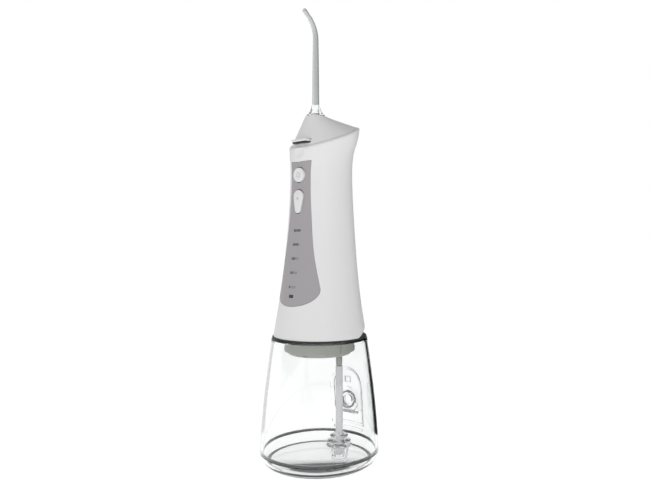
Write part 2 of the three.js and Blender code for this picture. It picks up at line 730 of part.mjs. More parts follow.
function modeButton() {
  const front = frontFace(MODE_HEIGHT) - MODE.proud;
  const stem = tiltedTear(0, front, FLANGE_FRONT + 0.1);
  const flange = prism(tearShape(BUTTON_FLANGE.grow), FLANGE_FRONT, FLANGE_BACK, 8)
    .translate([0, 0, MODE_HEIGHT]);
  const trim = block([-20, -60, 0], [20, FLANGE_FRONT + 0.1, 200]);
  return join(stem.intersect(trim), flange).translate([0, 0, -MODE_HEIGHT]);
}

const RELEASE_FRONT = capFront(RELEASE.height) - RELEASE.proud;
const RELEASE_BACK = capFront(RELEASE.height) + RELEASE.reach - RELEASE.travel;

function releaseButton() {
  const shape = new THREE.Shape();
  const half = RELEASE.halfWidth;
  const corner = 2.0;
  shape.moveTo(-half, RELEASE_BACK);
  shape.lineTo(-half, RELEASE_FRONT + corner);
  shape.absarc(corner - half, RELEASE_FRONT + corner, corner, Math.PI, 1.5 * Math.PI, false);
  shape.absarc(half - corner, RELEASE_FRONT + corner, corner, 1.5 * Math.PI, 2 * Math.PI, false);
  shape.lineTo(half, RELEASE_BACK);
  const geometry = new THREE.ExtrudeGeometry(shape, {
    depth: RELEASE.thickness,
    bevelEnabled: false,
    curveSegments: 5,
  });
  return solidOf(geometry);
}

function releaseSpring() {
  const back = -SEAT.forward - SOCKET.radius - GAP;
  const front = RELEASE_BACK + GAP;
  const length = back - front - 2 * SPRING.wire;
  const points = [];
  const steps = SPRING.turns * 9;
  for (let i = 0; i <= steps; i += 1) {
    const angle = (2 * Math.PI * i) / 9;
    points.push([
      SPRING.radius * Math.cos(angle),
      front + SPRING.wire + (length * i) / steps,
      SPRING.radius * Math.sin(angle),
    ]);
  }
  return sweep(points, SPRING.wire, 6, steps);
}

function batteryLens() {
  return block(
    [-LENS.halfWidth, -60, LENS.height - LENS.halfHeight],
    [LENS.halfWidth, 0, LENS.height + LENS.halfHeight],
  )
    .intersect(casingCore(PANEL.inset, 1, CASING_TOP))
    .subtract(casingCore(PANEL.inset + PANEL.thickness, 0, CASING_TOP + 5));
}

function chargeCover() {
  const inset = CHARGER.recess - CHARGER.thickness;
  const outline = roundedSlot(CHARGER.halfWidth - GAP, CHARGER.halfHeight - GAP, CHARGER.height);
  const plate = prism(outline, 0, 60, 4)
    .intersect(casingCore(0, 1, CASING_TOP))
    .subtract(casingCore(CHARGER.thickness, 0, CASING_TOP + 5));
  const plugFace = rearFace(CHARGER.height) - CHARGER.thickness;
  const plug = prism(
    roundedSlot(CHARGE_HOLE.halfWidth - 2 * GAP, CHARGE_HOLE.halfHeight - GAP, CHARGER.height),
    plugFace - inset - CHARGE_HOLE.plugDepth,
    plugFace + 0.4,
    4,
  );
  return join(plate, plug);
}

function chargeSocket() {
  const back = rearFace(CHARGER.height) - CASING_WALL - GAP - 0.8;
  const front = back - CHARGE_SOCKET.depth;
  const outline = roundedSlot(CHARGE_SOCKET.halfWidth, CHARGE_SOCKET.halfHeight, CHARGER.height);
  const can = prism(outline, front, back, 4);
  const hollow = prism(
    roundedSlot(
      CHARGE_SOCKET.halfWidth - CHARGE_SOCKET.wall,
      CHARGE_SOCKET.halfHeight - CHARGE_SOCKET.wall,
      CHARGER.height,
    ),
    front + CHARGE_SOCKET.wall,
    back + 1,
    4,
  );
  return cut(can, hollow);
}

function buildCasing(handle) {
  place(handle, 'body_shell', bodyShell(), FINISH.casing);
  place(handle, 'head_cap', headCap(), FINISH.cap);
  place(handle, 'front_panel', frontPanel(), FINISH.panel);
  place(handle, 'battery_lens', batteryLens(), FINISH.lens);
  const power = powerButton();
  place(handle, 'power_button', power.solid, FINISH.button, power.position);
  place(handle, 'mode_button', modeButton(), FINISH.button, [0, 0, MODE_HEIGHT]);
  place(handle, 'release_button', releaseButton(), FINISH.button, [0, 0, RELEASE.height]);
  const springHeight = RELEASE.height + RELEASE.thickness / 2;
  place(handle, 'release_spring', releaseSpring(), FINISH.steel, [0, 0, springHeight]);
  place(handle, 'charge_cover', chargeCover(), FINISH.cap);
  place(handle, 'charge_socket', chargeSocket(), FINISH.steel);
}

// ---------------------------------------------------------------- collar and suction line
const COLLAR_RADIUS = NECK.radius - COLLAR.clearance;

function collar() {
  const inner = COLLAR_RADIUS - COLLAR.wall;
  const low = -COLLAR.depth;
  const grooveLow = ORING.height;
  const grooveHigh = ORING.height + ORING.tall + 2 * GAP;
  const flangeTop = COLLAR_LIFT + COLLAR.flange;
  const flangeRadius = insideRadius(flangeTop);
  let solid = revolve(
    [
      [0, low],
      [COLLAR_RADIUS - 1.1, low],
      [COLLAR_RADIUS - 0.3, low + 1.0],
      [COLLAR_RADIUS, low + 3.0],
      [COLLAR_RADIUS, grooveLow],
      [COLLAR_RADIUS - ORING.groove, grooveLow],
      [COLLAR_RADIUS - ORING.groove, grooveHigh],
      [COLLAR_RADIUS, grooveHigh],
      [COLLAR_RADIUS, COLLAR_LIFT],
      [flangeRadius, COLLAR_LIFT],
      [flangeRadius, flangeTop],
      [inner, flangeTop],
      [inner, low + COLLAR.floor],
      [0, low + COLLAR.floor],
    ],
    ROUND_LARGE,
  );
  for (let i = 0; i < TRACK.count; i += 1) {
    const turn = TRACK.start + (360 / TRACK.count) * i;
    const face = COLLAR_RADIUS - TRACK.depth;
    const entry = block([face, -TRACK.width / 2, low - 1], [face + 5, TRACK.width / 2, low + TRACK.rise]);
    const run = ring(face, face + 5, low + TRACK.rise - TRACK.runTall, low + TRACK.rise, ROUND_MEDIUM)
      .intersect(block([10, 0, low], [40, 11, low + 10]));
    solid = solid.subtract(entry.add(run).rotate([0, 0, turn]));
  }
  const stubHole = disc(STUB.radius + GAP, low - 1, low + 10, ROUND_SMALL, HOSE.x, HOSE.y);
  solid = cut(solid, stubHole);
  for (const [x, y] of BASE_SCREWS) {
    solid = solid.subtract(disc(SCREW.hole, COLLAR_LIFT + 0.6, flangeTop + 1, ROUND_SMALL, x, y));
  }
  return solid;
}

// The hose's line down the tank: how far it bows back, and its height above the floor.
const HOSE_LINE = [
  [0, 59.7],
  [0, 57.7],
  [0, 54.7],
  [0.07, 50.7],
  [0.15, 46.7],
  [0.21, 42.7],
  [0.25, 38.7],
  [0.25, 34.7],
  [0.21, 30.7],
  [0.15, 26.7],
  [0.07, 22.7],
  [0, 19.3],
  [0, 15.3],
  [0, 11.0],
  [0, 7.5],
  [0, 5.0],
];

function hoseRoute() {
  return HOSE_LINE.map(([bow, height]) => [HOSE.x, HOSE.y + bow, height]);
}

function strainer() {
  const bore = HOSE.radius + GAP;
  const tube = bore + STRAINER.wall;
  const top = STRAINER.height;
  const edge = STRAINER.radius;
  const solid = revolve(
    [
      [bore, 1.2],
      [bore, top],
      [tube, top],
      [tube, top - 1.0],
      [edge - 2.6, top - 1.4],
      [edge - 2.4, top - 2.1],
      [tube, top - 2.5],
      [tube, top - 4.0],
      [edge - 1.0, top - 4.4],
      [edge - 0.8, top - 5.1],
      [tube, top - 5.5],
      [tube, top - 6.8],
      [edge, top - 7.2],
      [edge, top - 8.0],
      [edge - 1.6, top - 8.8],
      [edge - 3.0, 0],
      [edge - 4.0, 0],
      [edge - 2.7, top - 8.6],
      [tube, top - 8.6],
      [tube, 1.2],
      [bore, 1.2],
    ],
    ROUND_MEDIUM,
  );
  const windows = [0, 60, 120].map((turn) =>
    block([-1.2, -12, 1.6], [1.2, 12, top - 10.4]).rotate([0, 0, turn]),
  );
  const keep = disc(tube, -1, top + 1, ROUND_MEDIUM);
  return cut(solid, ...windows.map((window) => window.subtract(keep)));
}

function buildSuction(handle) {
  place(handle, 'collar', collar(), FINISH.collar);
  const grooveRadius = COLLAR_RADIUS - ORING.groove + GAP;
  const oringLow = ORING.height + GAP;
  const oring = ring(grooveRadius, NECK.radius - GAP, oringLow, oringLow + ORING.tall, ROUND_LARGE);
  place(handle, 'collar_oring', oring, FINISH.darkRubber);
  const stubLow = STUB.bottom - HANDLE_BASE;
  const stub = revolve(
    [
      [STUB.bore, stubLow],
      [STUB.radius - 0.3, stubLow],
      [STUB.radius, stubLow + 1.5],
      [STUB.radius, STUB.top],
      [STUB.bore, STUB.top],
      [STUB.bore, stubLow],
    ],
    ROUND_SMALL,
  );
  place(handle, 'suction_stub', stub, FINISH.hose, [HOSE.x, HOSE.y, 0]);
  const line = sweep(hoseRoute(), HOSE.radius, 10, HOSE_LINE.length - 1);
  place(handle, 'suction_hose', line, FINISH.hose, [0, 0, -HANDLE_BASE]);
  place(handle, 'strainer', strainer(), FINISH.clear, [HOSE.x, HOSE.y, STRAINER.bottom - HANDLE_BASE]);
}

// ---------------------------------------------------------------- chassis, boards and battery
const BASE_LOW = COLLAR_LIFT + COLLAR.flange + GAP;
const SHELF_TOP = CHASSIS.shelf + CHASSIS.shelfThickness;
const CELL_LOW = SHELF_TOP + GAP + TAB.thickness + GAP;
const CELL_TOP = CELL_LOW + BATTERY.length;
const MID_LOW = CELL_TOP + GAP + TAB.thickness + GAP;
const WAIST = CASING.reduce((least, station) => (station[1] < least[1] ? station : least))[0];

// Half the room between the casing's inner walls, at a height and a place front to back.
function insideHalf(height, y) {
  const radius = casingAt(height, 1) - CASING_WALL;
  return Math.sqrt(radius ** 2 - (y - casingAt(height, 2)) ** 2);
}

// The cell lies against the casing's back, the motor against the cell, and the light board with its
// guide in the room that is left behind the casing's front.
const CELL_Y = rearFace(CELL_TOP) - CASING_WALL - BATTERY.clearance - BATTERY.radius;
const MOTOR_Y = CELL_Y - BATTERY.radius - MOTOR.clearance - MOTOR.radius;
const WHEEL_Y = MOTOR_Y + (GEAR.module * (GEAR.pinionTeeth + GEAR.wheelTeeth)) / 2;
const CASING_INSIDE = frontFace(LIGHT_BOARD.top) + CASING_WALL;
const LIGHT_STACK = GUIDE.thickness + GAP + LIGHT_BOARD.thickness;
const LIGHT_ROOM = MOTOR_Y - MOTOR.radius - CASING_INSIDE - LIGHT_STACK;
const LIGHT_FRONT = CASING_INSIDE + LIGHT_ROOM * LIGHT_BOARD.lead + GUIDE.thickness + GAP;
const RAIL_X = insideHalf(WAIST, -RAIL.depth / 2) - RAIL.clearance - RAIL.width / 2;
const BOARD_HALF = insideHalf(WAIST, BOARD.front) - BOARD.sideRoom;
const LIGHT_HALF = insideHalf(LIGHT_BOARD.top, LIGHT_FRONT) - LIGHT_BOARD.sideRoom;

function outletRoute() {
  const head = PUMP.front - GAP - HEAD_BLOCK.length / 2;
  return [
    [0, head, PUMP.axis + HEAD_BLOCK.halfHeight + GAP],
    [0, head, PUMP.axis + HEAD_BLOCK.halfHeight + 1.6],
    [2.6, head + 0.2, PUMP.axis + HEAD_BLOCK.halfHeight + 3.2],
    [7.6, head + 1.4, CHASSIS.shelf - 2.8],
    [11.6, head + 4.4, SHELF_TOP + 1],
    [12.2, -8.0, 42],
    [12.0, -6.0, 60],
    [11.4, -5.0, MID_LOW + 1],
    [9.6, -4.4, 90],
    [3.6, -SEAT.forward - 0.3, 98],
    [0, -SEAT.forward, SOCKET.bottom - 2.6],
    [0, -SEAT.forward, SOCKET.bottom - GAP],
  ];
}

function inletRoute() {
  const head = PUMP.front - GAP - HEAD_BLOCK.length / 2;
  const port = PUMP.axis - VALVE.offset;
  return [
    [HOSE.x, HOSE.y, STUB.top + GAP],
    [HOSE.x, HOSE.y, STUB.top + 5],
    [HOSE.x + 0.5, HOSE.y - 2, BASE_LOW + CHASSIS.base + 2.2],
    [HOSE.x + 1.8, -2.0, port],
    [HOSE.x + 2.0, -9.0, port],
    [HOSE.x + 0.6, head + 1.4, port],
    [HEAD_BLOCK.halfWidth + 2.2, head, port],
    [HEAD_BLOCK.halfWidth + GAP, head, port],
  ];
}

function chassis() {
  const baseTop = BASE_LOW + CHASSIS.base;
  const plate = (low, thickness) => {
    const radius = Math.min(insideRadius(low), insideRadius(low + thickness));
    return disc(radius, low, low + thickness, ROUND_LARGE, 0, casingAt(low, 2));
  };
  const uprights = [];
  for (const side of [-1, 1]) {
    uprights.push(block(
      [side * POST.x - POST.width / 2, -POST.depth / 2, BASE_LOW + 0.5],
      [side * POST.x + POST.width / 2, POST.depth / 2, CHASSIS.shelf + 0.5],
    ));
    uprights.push(block(
      [side * RAIL_X - RAIL.width / 2, -RAIL.depth / 2, CHASSIS.shelf + 0.5],
      [side * RAIL_X + RAIL.width / 2, RAIL.depth / 2, TOP_PLATE.height + 0.5],
    ));
  }
  const saddleTop = PUMP.axis - PUMP.radius - GAP;
  const saddle = block([-3, PUMP.front + 1, baseTop - 0.5], [3, PUMP.back - 1, saddleTop]);
  const frame = join(
    plate(BASE_LOW, CHASSIS.base),
    plate(CHASSIS.shelf, CHASSIS.shelfThickness),
    plate(MID_LOW, MID_PLATE.thickness),
    plate(TOP_PLATE.height, TOP_PLATE.thickness),
    saddle,
    ...uprights,
  );
  const hoseHole = LINE.radius + 1.0;
  const pinionHole = GEAR.module * (GEAR.pinionTeeth / 2 + 1) + 1;
  const boardNotch = block(
    [-BOARD_HALF - 0.5, -40, BOARD.bottom],
    [BOARD_HALF + 0.5, BOARD.front + BOARD.thickness + GAP, BOARD.top + GAP],
  );
  const cuts = [
    disc(hoseHole + 0.6, BASE_LOW - 1, baseTop + 1, ROUND_SMALL, HOSE.x + 0.2, HOSE.y - 0.8),
    disc(pinionHole, CHASSIS.shelf - 1, SHELF_TOP + 1, ROUND_MEDIUM, 0, MOTOR_Y),
    disc(AXLE.bore, CHASSIS.shelf - 1, SHELF_TOP + 1, ROUND_SMALL, 0, WHEEL_Y),
    disc(SOCKET.radius + GAP, TOP_PLATE.height - 1, TOP_PLATE.height + 5, ROUND_MEDIUM, 0, -SEAT.forward),
    disc(hoseHole + 1.2, CHASSIS.shelf - 1, SHELF_TOP + 1, ROUND_SMALL, 10.3, -13.2),
    disc(hoseHole, MID_LOW - 1, MID_LOW + MID_PLATE.thickness + 1, ROUND_SMALL, 11.3, -5.0),
    boardNotch,
  ];
  for (const [x, y] of BASE_SCREWS) cuts.push(disc(SCREW.hole, BASE_LOW - 1, baseTop + 1, ROUND_SMALL, x, y));
  for (const side of [-1, 1]) {
    const x = side * EAR.screw;
    cuts.push(disc(SCREW.hole, TOP_PLATE.height - 1, TOP_PLATE.height + 5, ROUND_SMALL, x, -SEAT.forward));
  }
  return cut(frame, ...cuts);
}

function circuitBoard(half, front, thickness, bottom, top) {
  return block([-half, front, bottom], [half, front + thickness, top]);
}

function switchBody() {
  const half = SWITCH.width / 2;
  return block([-half, SWITCH_FACE, -half], [half, BOARD.front - GAP, half]);
}

function battery() {
  return revolve(
    [
      [0, 0],
      [BATTERY.radius - 0.4, 0],
      [BATTERY.radius, 0.5],
      [BATTERY.radius, BATTERY.length - 1.6],
      [BATTERY.radius - 0.5, BATTERY.length - 1.0],
      [2.7, BATTERY.length - 1.0],
      [2.6, BATTERY.length],
      [0, BATTERY.length],
    ],
    ROUND_MEDIUM,
  );
}

function buildElectronics(handle) {
  place(handle, 'chassis', chassis(), FINISH.frame);
  const mainBoard = circuitBoard(BOARD_HALF, BOARD.front, BOARD.thickness, BOARD.bottom + 0.4, BOARD.top);
  place(handle, 'circuit_board', mainBoard, FINISH.board);
  place(handle, 'power_switch', switchBody(), FINISH.black, [0, 0, POWER.height]);
  place(handle, 'mode_switch', switchBody(), FINISH.black, [0, 0, MODE_HEIGHT]);
  const { bottom, top, thickness } = LIGHT_BOARD;
  const lightBoard = circuitBoard(LIGHT_HALF, LIGHT_FRONT, thickness, bottom, top);
  place(handle, 'indicator_board', lightBoard, FINISH.board);
  const guideBack = LIGHT_FRONT - GAP;
  const guide = block(
    [-GUIDE.halfWidth, guideBack - GUIDE.thickness, bottom + GUIDE.inset],
    [GUIDE.halfWidth, guideBack, top - GUIDE.inset],
  );
  place(handle, 'light_guide', guide, FINISH.clear);
  const cell = new THREE.Group();
  cell.position.set(0, CELL_Y, 0);
  handle.add(cell);
  const tab = block([-TAB.halfWidth, -TAB.halfDepth, 0], [TAB.halfWidth, TAB.halfDepth, TAB.thickness]);
  place(cell, 'battery_tab_bottom', tab, FINISH.steel, [0, 0, SHELF_TOP + GAP]);
  place(cell, 'battery', battery(), FINISH.cell, [0, 0, CELL_LOW]);
  place(cell, 'battery_tab_top', tab, FINISH.steel, [0, 0, CELL_TOP + GAP]);
}

// ---------------------------------------------------------------- motor, gears and pump
// A spur gear's outline, one tooth centred on the angle given by start.
function gearShape(teeth, start) {
  const pitch = (GEAR.module * teeth) / 2;
  const root = pitch - GEAR.module * 1.2;
  const tip = pitch + GEAR.module * 0.85;
  const step = (2 * Math.PI) / teeth;
  const half = (Math.PI * GEAR.module) / 4 - GEAR.backlash / 2;
  const points = [];
  for (let i = 0; i < teeth; i += 1) {
    const middle = start + i * step;
    const corners = [
      [root, -(half + GEAR.rootGrow) / root],
      [pitch, -half / pitch],
      [tip, -(half - GEAR.tipShrink) / tip],
      [tip, (half - GEAR.tipShrink) / tip],
      [pitch, half / pitch],
      [root, (half + GEAR.rootGrow) / root],
    ];
    for (const [radius, angle] of corners) {
      points.push(new THREE.Vector2(radius * Math.cos(middle + angle), radius * Math.sin(middle + angle)));
    }
  }
  return new THREE.Shape(points);
}

function gearSolid(teeth, start) {
  const settings = { depth: GEAR.face, bevelEnabled: false };
  return solidOf(new THREE.ExtrudeGeometry(gearShape(teeth, start), settings));
}

function motorCan() {
  const boss = disc(MOTOR.boss, -1.2, 0.5, ROUND_MEDIUM);
  const can = revolve(
    [
      [0, 0],
      [MOTOR.radius - 0.5, 0],
      [MOTOR.radius, 0.5],
      [MOTOR.radius, MOTOR.length - 2.5],
      [MOTOR.radius - 0.6, MOTOR.length - 2.0],
      [MOTOR.radius - 0.6, MOTOR.length],
      [0, MOTOR.length],
    ],
    ROUND_MEDIUM,
  );
  return cut(join(can, boss), disc(MOTOR.bore, -5, MOTOR.length - 3, ROUND_SMALL));
}

function buildDrive(handle) {
  const motor = new THREE.Group();
  motor.position.set(0, MOTOR_Y, SHELF_TOP + GAP);
  handle.add(motor);
  place(motor, 'motor_can', motorCan(), FINISH.steel);
  const gearLow = GEAR.bottom - SHELF_TOP - GAP;
  const facing = Math.PI / 2;
  const pinion = join(
    gearSolid(GEAR.pinionTeeth, facing).translate([0, 0, gearLow]),
    disc(MOTOR.shaft, gearLow - 0.4, MOTOR.length - 4, ROUND_SMALL),
  );
  place(motor, 'motor_pinion', pinion, FINISH.steel);

  const train = new THREE.Group();
  train.position.set(0, WHEEL_Y, GEAR.bottom);
  handle.add(train);
  const halfTooth = Math.PI / GEAR.wheelTeeth;
  const crankLow = PUMP.axis - YOKE.thickness / 2 - 0.6 - GEAR.bottom;
  const wheel = cut(gearSolid(GEAR.wheelTeeth, -facing + halfTooth), disc(AXLE.bore, 0.8, 10, ROUND_SMALL));
  const crankPin = disc(CRANK.radius, crankLow, 0.5, ROUND_SMALL, CRANK.throw);
  place(train, 'drive_gear', join(wheel, crankPin), FINISH.gear);
  const axle = join(
    disc(AXLE.radius, 0.8 + GAP, SHELF_TOP - GEAR.bottom - 0.2, ROUND_SMALL),
    disc(AXLE.bore + 0.8, GEAR.face + GAP, CHASSIS.shelf - GEAR.bottom - GAP, ROUND_SMALL),
  );
  place(train, 'gear_axle', axle, FINISH.steel);
}

function buildPump(handle) {
  const pump = new THREE.Group();
  pump.position.set(0, 0, PUMP.axis);
  handle.add(pump);

  // The crank pin runs in the yoke's window, which is long enough for either to move alone.
  const windowX = CRANK.throw + CRANK.radius + GAP;
  const windowY = 2 * CRANK.throw + CRANK.radius + GAP;
  const half = YOKE.thickness / 2;
  const front = WHEEL_Y - windowY - YOKE.rim;
  const frame = block(
    [-windowX - YOKE.rim, front, -half],
    [windowX + YOKE.rim, WHEEL_Y + windowY + YOKE.rim, half],
  );
  const window = block([-windowX, WHEEL_Y - windowY, -9], [windowX, WHEEL_Y + windowY, 9]);
  const neckHalf = YOKE.neck / 2;
  const neck = block([-neckHalf, PLUNGER.back + GAP, -half], [neckHalf, front + 0.5, half]);
  place(pump, 'piston_yoke', cut(join(frame, neck), window), FINISH.gear);

  const grooveFront = PLUNGER.front + 1.2;
  const plunger = cut(
    rod(PLUNGER.radius, PLUNGER.front, PLUNGER.back, ROUND_MEDIUM),
    cut(
      rod(PLUNGER.radius + 1, grooveFront, grooveFront + PLUNGER.grooveLength, ROUND_MEDIUM),
      rod(PLUNGER.radius - PLUNGER.groove, -20, 5, ROUND_MEDIUM),
    ),
  );
  place(pump, 'plunger', plunger, FINISH.steel);
  const sealInner = PLUNGER.radius - PLUNGER.groove + GAP;
  const seal = ring(sealInner, PUMP.bore - GAP, GAP, PLUNGER.grooveLength - GAP, ROUND_MEDIUM);
  place(pump, 'piston_seal', seal.rotate([-90, 0, 0]), FINISH.darkRubber, [0, grooveFront, 0]);

  const cylinder = cut(rod(PUMP.radius, PUMP.front, PUMP.back, ROUND_MEDIUM),
    rod(PUMP.bore, PUMP.front - 1, PUMP.back + 1, ROUND_MEDIUM));
  place(pump, 'pump_cylinder', cylinder, FINISH.frame);

  const headBack = PUMP.front - GAP;
  const headFront = headBack - HEAD_BLOCK.length;
  const middle = (headBack + headFront) / 2;
  const head = cut(
    block([-HEAD_BLOCK.halfWidth, headFront, -HEAD_BLOCK.halfHeight],
      [HEAD_BLOCK.halfWidth, headBack, HEAD_BLOCK.halfHeight]),
    disc(HEAD_BLOCK.passage, -HEAD_BLOCK.halfHeight + 1, HEAD_BLOCK.halfHeight + 1, ROUND_SMALL, 0, middle),
    rod(HEAD_BLOCK.port, middle, headBack + 1, ROUND_SMALL),
    bar(HEAD_BLOCK.port, 0, HEAD_BLOCK.halfWidth + 1, ROUND_SMALL, middle, -VALVE.offset),
  );
  place(pump, 'pump_head', head, FINISH.frame);
  const valve = disc(VALVE.radius, -VALVE.thickness / 2, VALVE.thickness / 2, ROUND_SMALL);
  place(pump, 'inlet_valve', valve, FINISH.darkRubber, [0, middle, -VALVE.offset / 2]);
  place(pump, 'outlet_valve', valve, FINISH.darkRubber, [0, middle, VALVE.offset]);

  place(handle, 'inlet_hose', sweep(inletRoute(), LINE.radius, 8, 18), FINISH.hose);
  place(handle, 'outlet_hose', sweep(outletRoute(), LINE.radius, 8, 26), FINISH.hose);
}

// ---------------------------------------------------------------- nozzle
function nozzleSocket() {
  const solid = join(
    disc(SOCKET.radius, SOCKET.bottom, SOCKET.top, ROUND_MEDIUM),
    block(
      [-EAR.halfWidth, -EAR.halfDepth, TOP_PLATE.height + TOP_PLATE.thickness + GAP],
      [EAR.halfWidth, EAR.halfDepth, TOP_PLATE.height + TOP_PLATE.thickness + GAP + EAR.thickness],
    ),
  );
  return cut(
    solid,
    disc(SOCKET.bore, SOCKET.boreBottom, SOCKET.top + 1, ROUND_MEDIUM),
    disc(SOCKET.water, SOCKET.bottom - 1, SOCKET.top, ROUND_SMALL),
    ...[-1, 1].map((side) => disc(SCREW.hole, 90, 140, ROUND_SMALL, side * EAR.screw)),
  );
}

// The nozzle's centre line above the flare: straight up, then bending forwards.
function nozzleStations() {
  const stations = [
    [NOZZLE.plugBottom, NOZZLE.plug - 0.3],
    [NOZZLE.plugBottom + 1, NOZZLE.plug],
    [NOZZLE.grooveHeight, NOZZLE.plug],
    [NOZZLE.grooveHeight, NOZZLE.plug - NOZZLE.grooveDepth],
    [NOZZLE.grooveHeight + NOZZLE.grooveTall, NOZZLE.plug - NOZZLE.grooveDepth],
    [NOZZLE.grooveHeight + NOZZLE.grooveTall, NOZZLE.plug],
    [SEAT.height + GAP, NOZZLE.plug],
    [SEAT.height + GAP, NOZZLE.rim],
    [SEAT.height + GAP + NOZZLE.rimHeight, NOZZLE.rim],
    [SEAT.height + GAP + NOZZLE.rimHeight + 0.5, NOZZLE.rim - 0.8],
    [NOZZLE.flareTop - 3.6, NOZZLE.stem + 0.9],
    [NOZZLE.flareTop, NOZZLE.stem],
    [NOZZLE.bendStart - 16, NOZZLE.stem - 0.25],
    [NOZZLE.bendStart, NOZZLE.stem - 0.5],
  ].map(([z, radius]) => ({ y: 0, z, angle: 0, radius }));
  const bends = 7;
  for (let i = 1; i <= bends; i += 1) {
    const angle = (NOZZLE.bendAngle * i) / bends;
    const radius = NOZZLE.stem - 0.5 - ((NOZZLE.stem - 0.5 - NOZZLE.tip) * i) / (bends + 1);
    const y = -NOZZLE.bendRadius * (1 - Math.cos(angle));
    const z = NOZZLE.bendStart + NOZZLE.bendRadius * Math.sin(angle);
    stations.push({ y, z, angle, radius });
  }
  const end = stations[stations.length - 1];
  stations.push({
    y: end.y - NOZZLE.tail * Math.sin(end.angle),
    z: end.z + NOZZLE.tail * Math.cos(end.angle),
    angle: end.angle,
    radius: NOZZLE.tip,
  });
  return stations;
}

function stationRing({ y, z, angle }, radius) {
  const points = [];
  for (let i = 0; i < 12; i += 1) {
    const turn = (2 * Math.PI * i) / 12;
    const across = radius * Math.cos(turn);
    const along = radius * Math.sin(turn);
    points.push(new THREE.Vector3(across, y + along * Math.cos(angle), z + along * Math.sin(angle)));
  }
  return points;
}

function nozzle() {
  const stations = nozzleStations();
  const outside = stations.map((station) => stationRing(station, station.radius));
  const bored = stations.filter((station, i) => i === 0 || station.z > NOZZLE.flareTop - 1);
  const bore = (station) => Math.min(NOZZLE.water, station.radius - 0.5);
  const inside = bored.reverse().map((station) => stationRing(station, bore(station)));
  return loft([...outside, ...inside], true);
}

function buildNozzle(handle) {
  const seat = new THREE.Group();
  seat.position.set(0, -SEAT.forward, 0);
  handle.add(seat);
  place(seat, 'nozzle_socket', nozzleSocket(), FINISH.frame);
  const outer = SEAT.radius - 0.6 - SEAT_RING.clearance;
  const seatLow = SEAT.height - SEAT_RING.tall;
  const seatRing = ring(outer - SEAT_RING.wall, outer, seatLow, SEAT.height, ROUND_MEDIUM);
  place(seat, 'nozzle_seat', seatRing, FINISH.cap);
  place(seat, 'nozzle', nozzle(), FINISH.clear);
  const oringInner = NOZZLE.plug - NOZZLE.grooveDepth + GAP;
  const oringLow = NOZZLE.grooveHeight + GAP;
  const oringHigh = NOZZLE.grooveHeight + NOZZLE.grooveTall - GAP;
  const oring = ring(oringInner, NOZZLE.plug, oringLow, oringHigh, ROUND_MEDIUM);
  place(seat, 'nozzle_oring', oring, FINISH.darkRubber);
}

// ---------------------------------------------------------------- screws
function screw(length) {
  return join(
    disc(SCREW.shaft, -length, 0.3, ROUND_SMALL),
    disc(SCREW.head, 0, SCREW.headTall, ROUND_SMALL),
  );
}

function buildScrews(handle) {
  const baseSeat = BASE_LOW + CHASSIS.base + GAP;
  BASE_SCREWS.forEach(([x, y], i) => {
    place(handle, `base_screw_${i + 1}`, screw(baseSeat - COLLAR_LIFT - 1.2), FINISH.steel, [x, y, baseSeat]);
  });
  const earTop = TOP_PLATE.height + TOP_PLATE.thickness + GAP + EAR.thickness + GAP;
  [-1, 1].forEach((side, i) => {
    const spot = [side * EAR.screw, -SEAT.forward, earTop];
    place(handle, `socket_screw_${i + 1}`, screw(SCREW.earLength), FINISH.steel, spot);
  });
}

// ---------------------------------------------------------------- assembly
const flosser = new THREE.Group();
flosser.add(buildTank());
const handle = new THREE.Group();
handle.position.z = HANDLE_BASE;
flosser.add(handle);
buildCasing(handle);
buildSuction(handle);
buildElectronics(handle);
buildDrive(handle);
buildPump(handle);
buildNozzle(handle);
buildScrews(handle);

export default flosser;
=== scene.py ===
"""A cordless water flosser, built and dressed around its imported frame.

Sizes are in millimetres and are turned into metres as each piece is made. The foot stands on Z = 0, the control
panel faces -Y, and heights on the handle are counted from its own base.
"""

from __future__ import annotations

import logging
import math
import re
from dataclasses import dataclass
from enum import Enum
from typing import Any, Iterable, Sequence

import bpy
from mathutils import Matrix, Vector

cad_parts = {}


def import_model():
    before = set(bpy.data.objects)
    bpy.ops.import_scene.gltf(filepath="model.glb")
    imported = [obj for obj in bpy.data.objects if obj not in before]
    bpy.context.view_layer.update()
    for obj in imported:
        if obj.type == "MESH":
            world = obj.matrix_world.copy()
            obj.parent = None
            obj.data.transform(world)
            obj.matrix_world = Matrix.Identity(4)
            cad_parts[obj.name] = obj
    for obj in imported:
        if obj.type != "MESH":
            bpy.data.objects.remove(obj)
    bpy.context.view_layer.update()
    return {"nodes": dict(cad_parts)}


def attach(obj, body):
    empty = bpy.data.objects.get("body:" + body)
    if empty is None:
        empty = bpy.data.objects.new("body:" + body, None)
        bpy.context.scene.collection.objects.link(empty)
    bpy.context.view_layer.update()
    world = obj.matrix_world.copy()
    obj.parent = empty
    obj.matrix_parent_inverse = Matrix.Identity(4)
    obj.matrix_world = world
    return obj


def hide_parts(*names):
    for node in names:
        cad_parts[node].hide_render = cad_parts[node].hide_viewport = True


LOG = logging.getLogger("flosser")

MM = 0.001
TINY = 0.01  # radius of the flat left at a pole
GAP = 0.3
FINE = 144  # sides of the large round pieces
ROUND = 64  # sides of the middling ones
SMALL = 32  # sides of pins and bores
HANDLE_BASE = 79.4
RIM_DROP = 0.4  # how far the casing's rim reaches over the gasket
FAR = 60.0  # a cutting tool's reach, right through any wall
OVER = 5.0  # how far a hollowing core runs past the casing's ends
MIX_A, MIX_B, MIX_OUT = 6, 7, 2  # the colour sockets of a mix node

Piece = bpy.types.Object
Outline = Sequence[tuple[float, float]]
Corner = tuple[float, float, float]
Socket = bpy.types.NodeSocket
Tree = bpy.types.NodeTree


class Cut(Enum):
    """What a tool does to the piece that it meets."""

    AWAY = "DIFFERENCE"
    KEEP = "INTERSECT"
    JOIN = "UNION"


